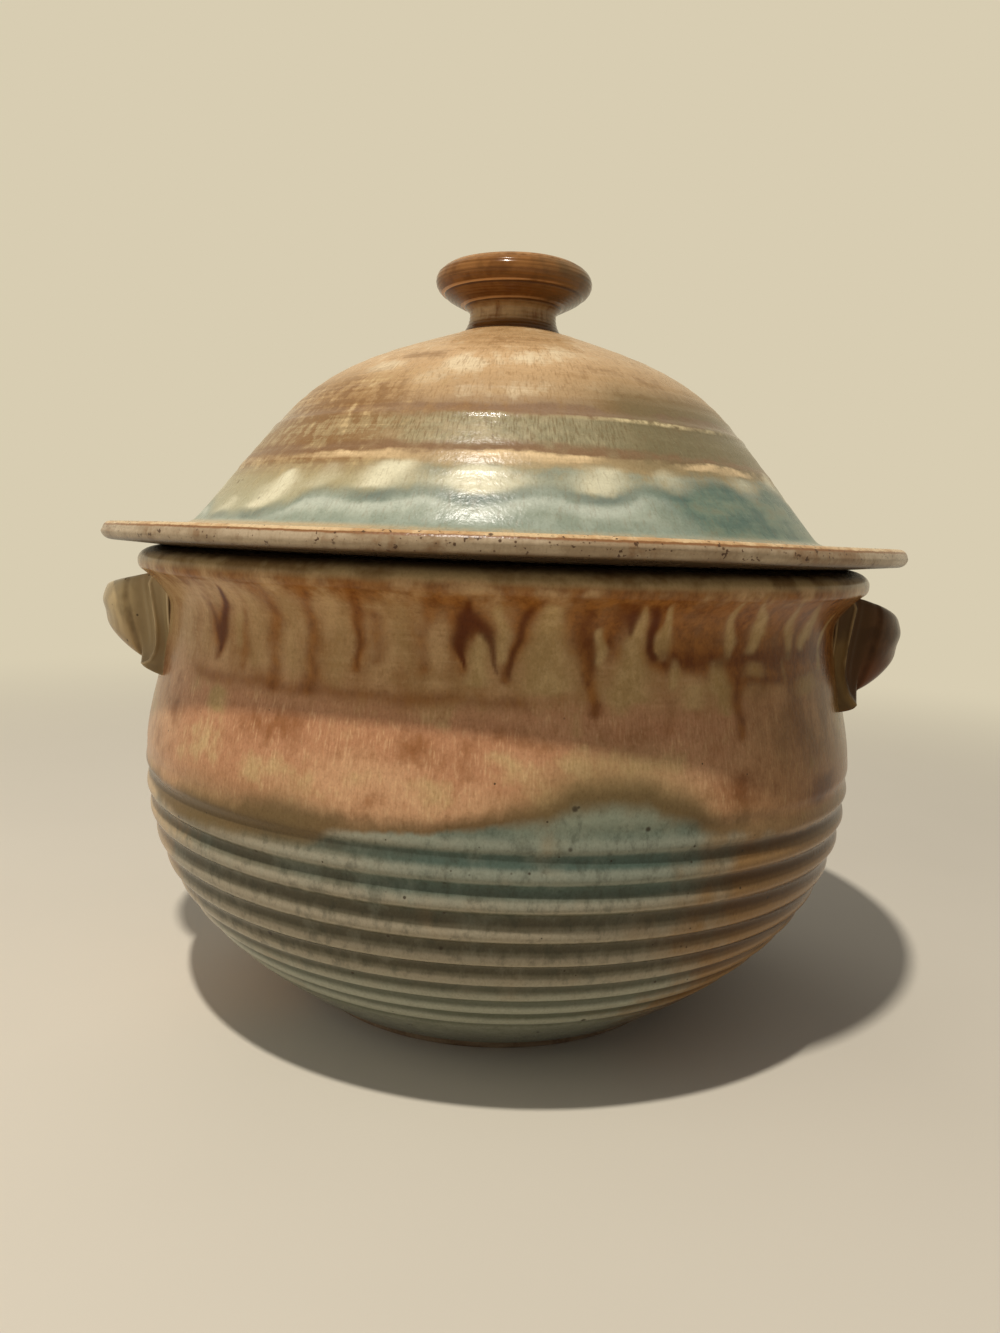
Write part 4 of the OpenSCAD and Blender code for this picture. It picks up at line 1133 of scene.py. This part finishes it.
def knobFinish():
    f = Finish("knobGlaze")
    above = f.z - knob["base"][1]
    streak = f.noise(f.downhill(f.z, 9, 0.12), 3, 0.55)
    mottle = f.noise(f.stretch(0.14, 0.14, 0.2), 3, 0.55)
    rings = f.noise(f.stretch(0.02, 0.02, 1.1), 2, 0.5)
    f.colour = f.blend(f.rise(mottle + (streak - 0.5) * 0.3, 0.36, 0.64), (140, 94, 48), (114, 72, 32))
    f.coat(f.rise(rings, 0.5, 0.66) * 0.45, (88, 52, 22))
    f.coat(f.rise(above + (mottle - 0.5) * 4, 15.5, 12) * 0.4, (94, 58, 24))
    waist = f.rise(above + (mottle - 0.5) * 5, 10, 6) * f.rise(above, 1.6, 4)
    f.coat(waist * f.rise(mottle + (streak - 0.5) * 0.6, 0.2, 0.6) * 0.9, (188, 156, 110))
    f.coat(f.rise(f.x + (mottle - 0.5) * 26, 2, 24) * 0.6, (108, 90, 60))
    drawn = above + (rings - 0.5) * 0.4
    for groove in knob["wornLines"]:              # worn pale over a dark line
        f.coat(f.band(drawn, groove - 0.7, groove - 0.3, groove - 0.1, groove + 0.1) * 0.7, (66, 36, 14))
        f.coat(f.band(drawn, groove, groove + 0.15, groove + 0.3, groove + 0.6)
               * f.rise(f.x + (mottle - 0.5) * 30, 20, -6) * 0.85, (208, 160, 110))
    # pale top rim: glaze worn thin there, and partly a painted highlight along the edge
    worn = f.rise(above, 19.8, 20.8) * f.rise(mottle, 0.36, 0.6)
    f.coat(worn * 0.7, (184, 136, 86))
    f.coat(f.rise(above, 1.4, 0.4) * 0.7, (96, 58, 30))
    f.coat(f.specks(0.4, 0.25) * 0.7, (60, 38, 20))
    return f.glossy(0.18 + (mottle - 0.5) * 0.1, mottle * 0.8 + rings * 0.3, 0.1, 0.2)


knobPiece = throw("lidKnob", knobLine(), knob["around"], knobPush)
place(knobPiece, "lid", "lid_knob", knobFinish())


# floor, lights and camera

studio = {
    "floor": (214, 206, 190), "floorRadius": 6000, "floorSides": 96, "floorFrom": 260, "floorTo": 1000,
    "backdrop": (216, 205, 178), "ambient": 0.2, "ambientTint": (1.0, 0.985, 0.96, 1.0),
}
lamps = {
    "keyLight": {"spot": (-0.2, -0.56, 1.4), "aim": (0, 0, 0.12), "size": 0.06, "power": 17,
                 "colour": (1.0, 0.95, 0.87), "shiny": True},
    "fillLight": {"spot": (-1.0, -0.4, 0.5), "aim": (0, 0, 0.1), "size": 0.8, "power": 2,
                  "colour": (1.0, 0.96, 0.9), "shiny": False},
    "backLight": {"spot": (-0.4, 1.0, 0.9), "aim": (0, 0, 0.12), "size": 0.9, "power": 2,
                  "colour": (1.0, 0.96, 0.9), "shiny": False},
}
view = {"pitch": 0.12674, "roll": 0.0375, "sensor": 36.0, "lens": 27.0, "spot": (0, -0.3602, 0.1577)}


def floorDisc():
    sides, radius = studio["floorSides"], studio["floorRadius"]
    turns = np.radians(np.arange(sides) * 360 / sides)
    points = [(0.0, 0.0, 0.0)] + [(radius * math.sin(t), radius * math.cos(t), 0.0) for t in turns]
    faces = [(0, 1 + (i + 1) % sides, 1 + i) for i in range(sides)]
    disc = addMesh("floor", np.array(points), faces)
    f = Finish("paleFloor")
    grain = f.noise(f.stretch(0.01, 0.01, 0.01), 2)
    colour = f.blend(grain, studio["floor"], tuple(c - 4 for c in studio["floor"]))
    matt = f.node("ShaderNodeBsdfPrincipled", (), {"Base Color": colour, "Roughness": 0.9})
    glow = f.node("ShaderNodeEmission", (), {"Color": tone(studio["backdrop"]), "Strength": 1.0})
    far = f.rise(f.vector("LENGTH", f.p, out="Value"), studio["floorFrom"], studio["floorTo"])
    either = f.node("ShaderNodeMixShader", (), {0: far * f.seen(), 1: matt, 2: glow})
    f.node("ShaderNodeOutputMaterial", (), {"Surface": either})
    disc.data.materials.append(f.owner)


def backdrop():
    f = Nodes(bpy.data.worlds.new("studio"))
    bpy.context.scene.world = f.owner
    soft = f.node("ShaderNodeBackground", (), {"Color": studio["ambientTint"], "Strength": studio["ambient"]})
    shown = f.node("ShaderNodeBackground", (), {"Color": tone(studio["backdrop"]), "Strength": 1.0})
    either = f.node("ShaderNodeMixShader", (), {0: f.seen(), 1: soft, 2: shown})
    f.node("ShaderNodeOutputWorld", (), {"Surface": either})


def lamp(name, spot, aim, size, power, colour, shiny):
    light = bpy.data.lights.new(name, "AREA")
    light.shape = "DISK"
    light.size = size
    light.energy = power
    light.color = colour
    holder = bpy.data.objects.new(name, light)
    holder.location = spot
    holder.rotation_euler = (Vector(aim) - Vector(spot)).to_track_quat("-Z", "Y").to_euler()
    holder.visible_camera = False
    holder.visible_glossy = shiny
    bpy.context.scene.collection.objects.link(holder)


def makeCamera():
    pitch, roll = view["pitch"], view["roll"]
    lens = bpy.data.cameras.new("camera")
    lens.sensor_width = view["sensor"]            # along the longer side of the picture
    lens.lens = view["lens"]
    lens.clip_start = 0.01
    side = Vector((1, 0, 0))
    ahead = Vector((0, math.cos(pitch), -math.sin(pitch)))
    up = side.cross(ahead)
    right = side * math.cos(roll) + up * math.sin(roll)
    top = up * math.cos(roll) - side * math.sin(roll)
    camera = bpy.data.objects.new("camera", lens)
    turned = Matrix((right, top, -ahead)).transposed().to_4x4()
    camera.matrix_world = Matrix.Translation(view["spot"]) @ turned
    bpy.context.scene.collection.objects.link(camera)
    bpy.context.scene.camera = camera


floorDisc()
backdrop()
for name, light in lamps.items():
    lamp(name, **light)
makeCamera()
bpy.context.scene.view_settings.view_transform = "Standard"
print("floor, lights and camera set")
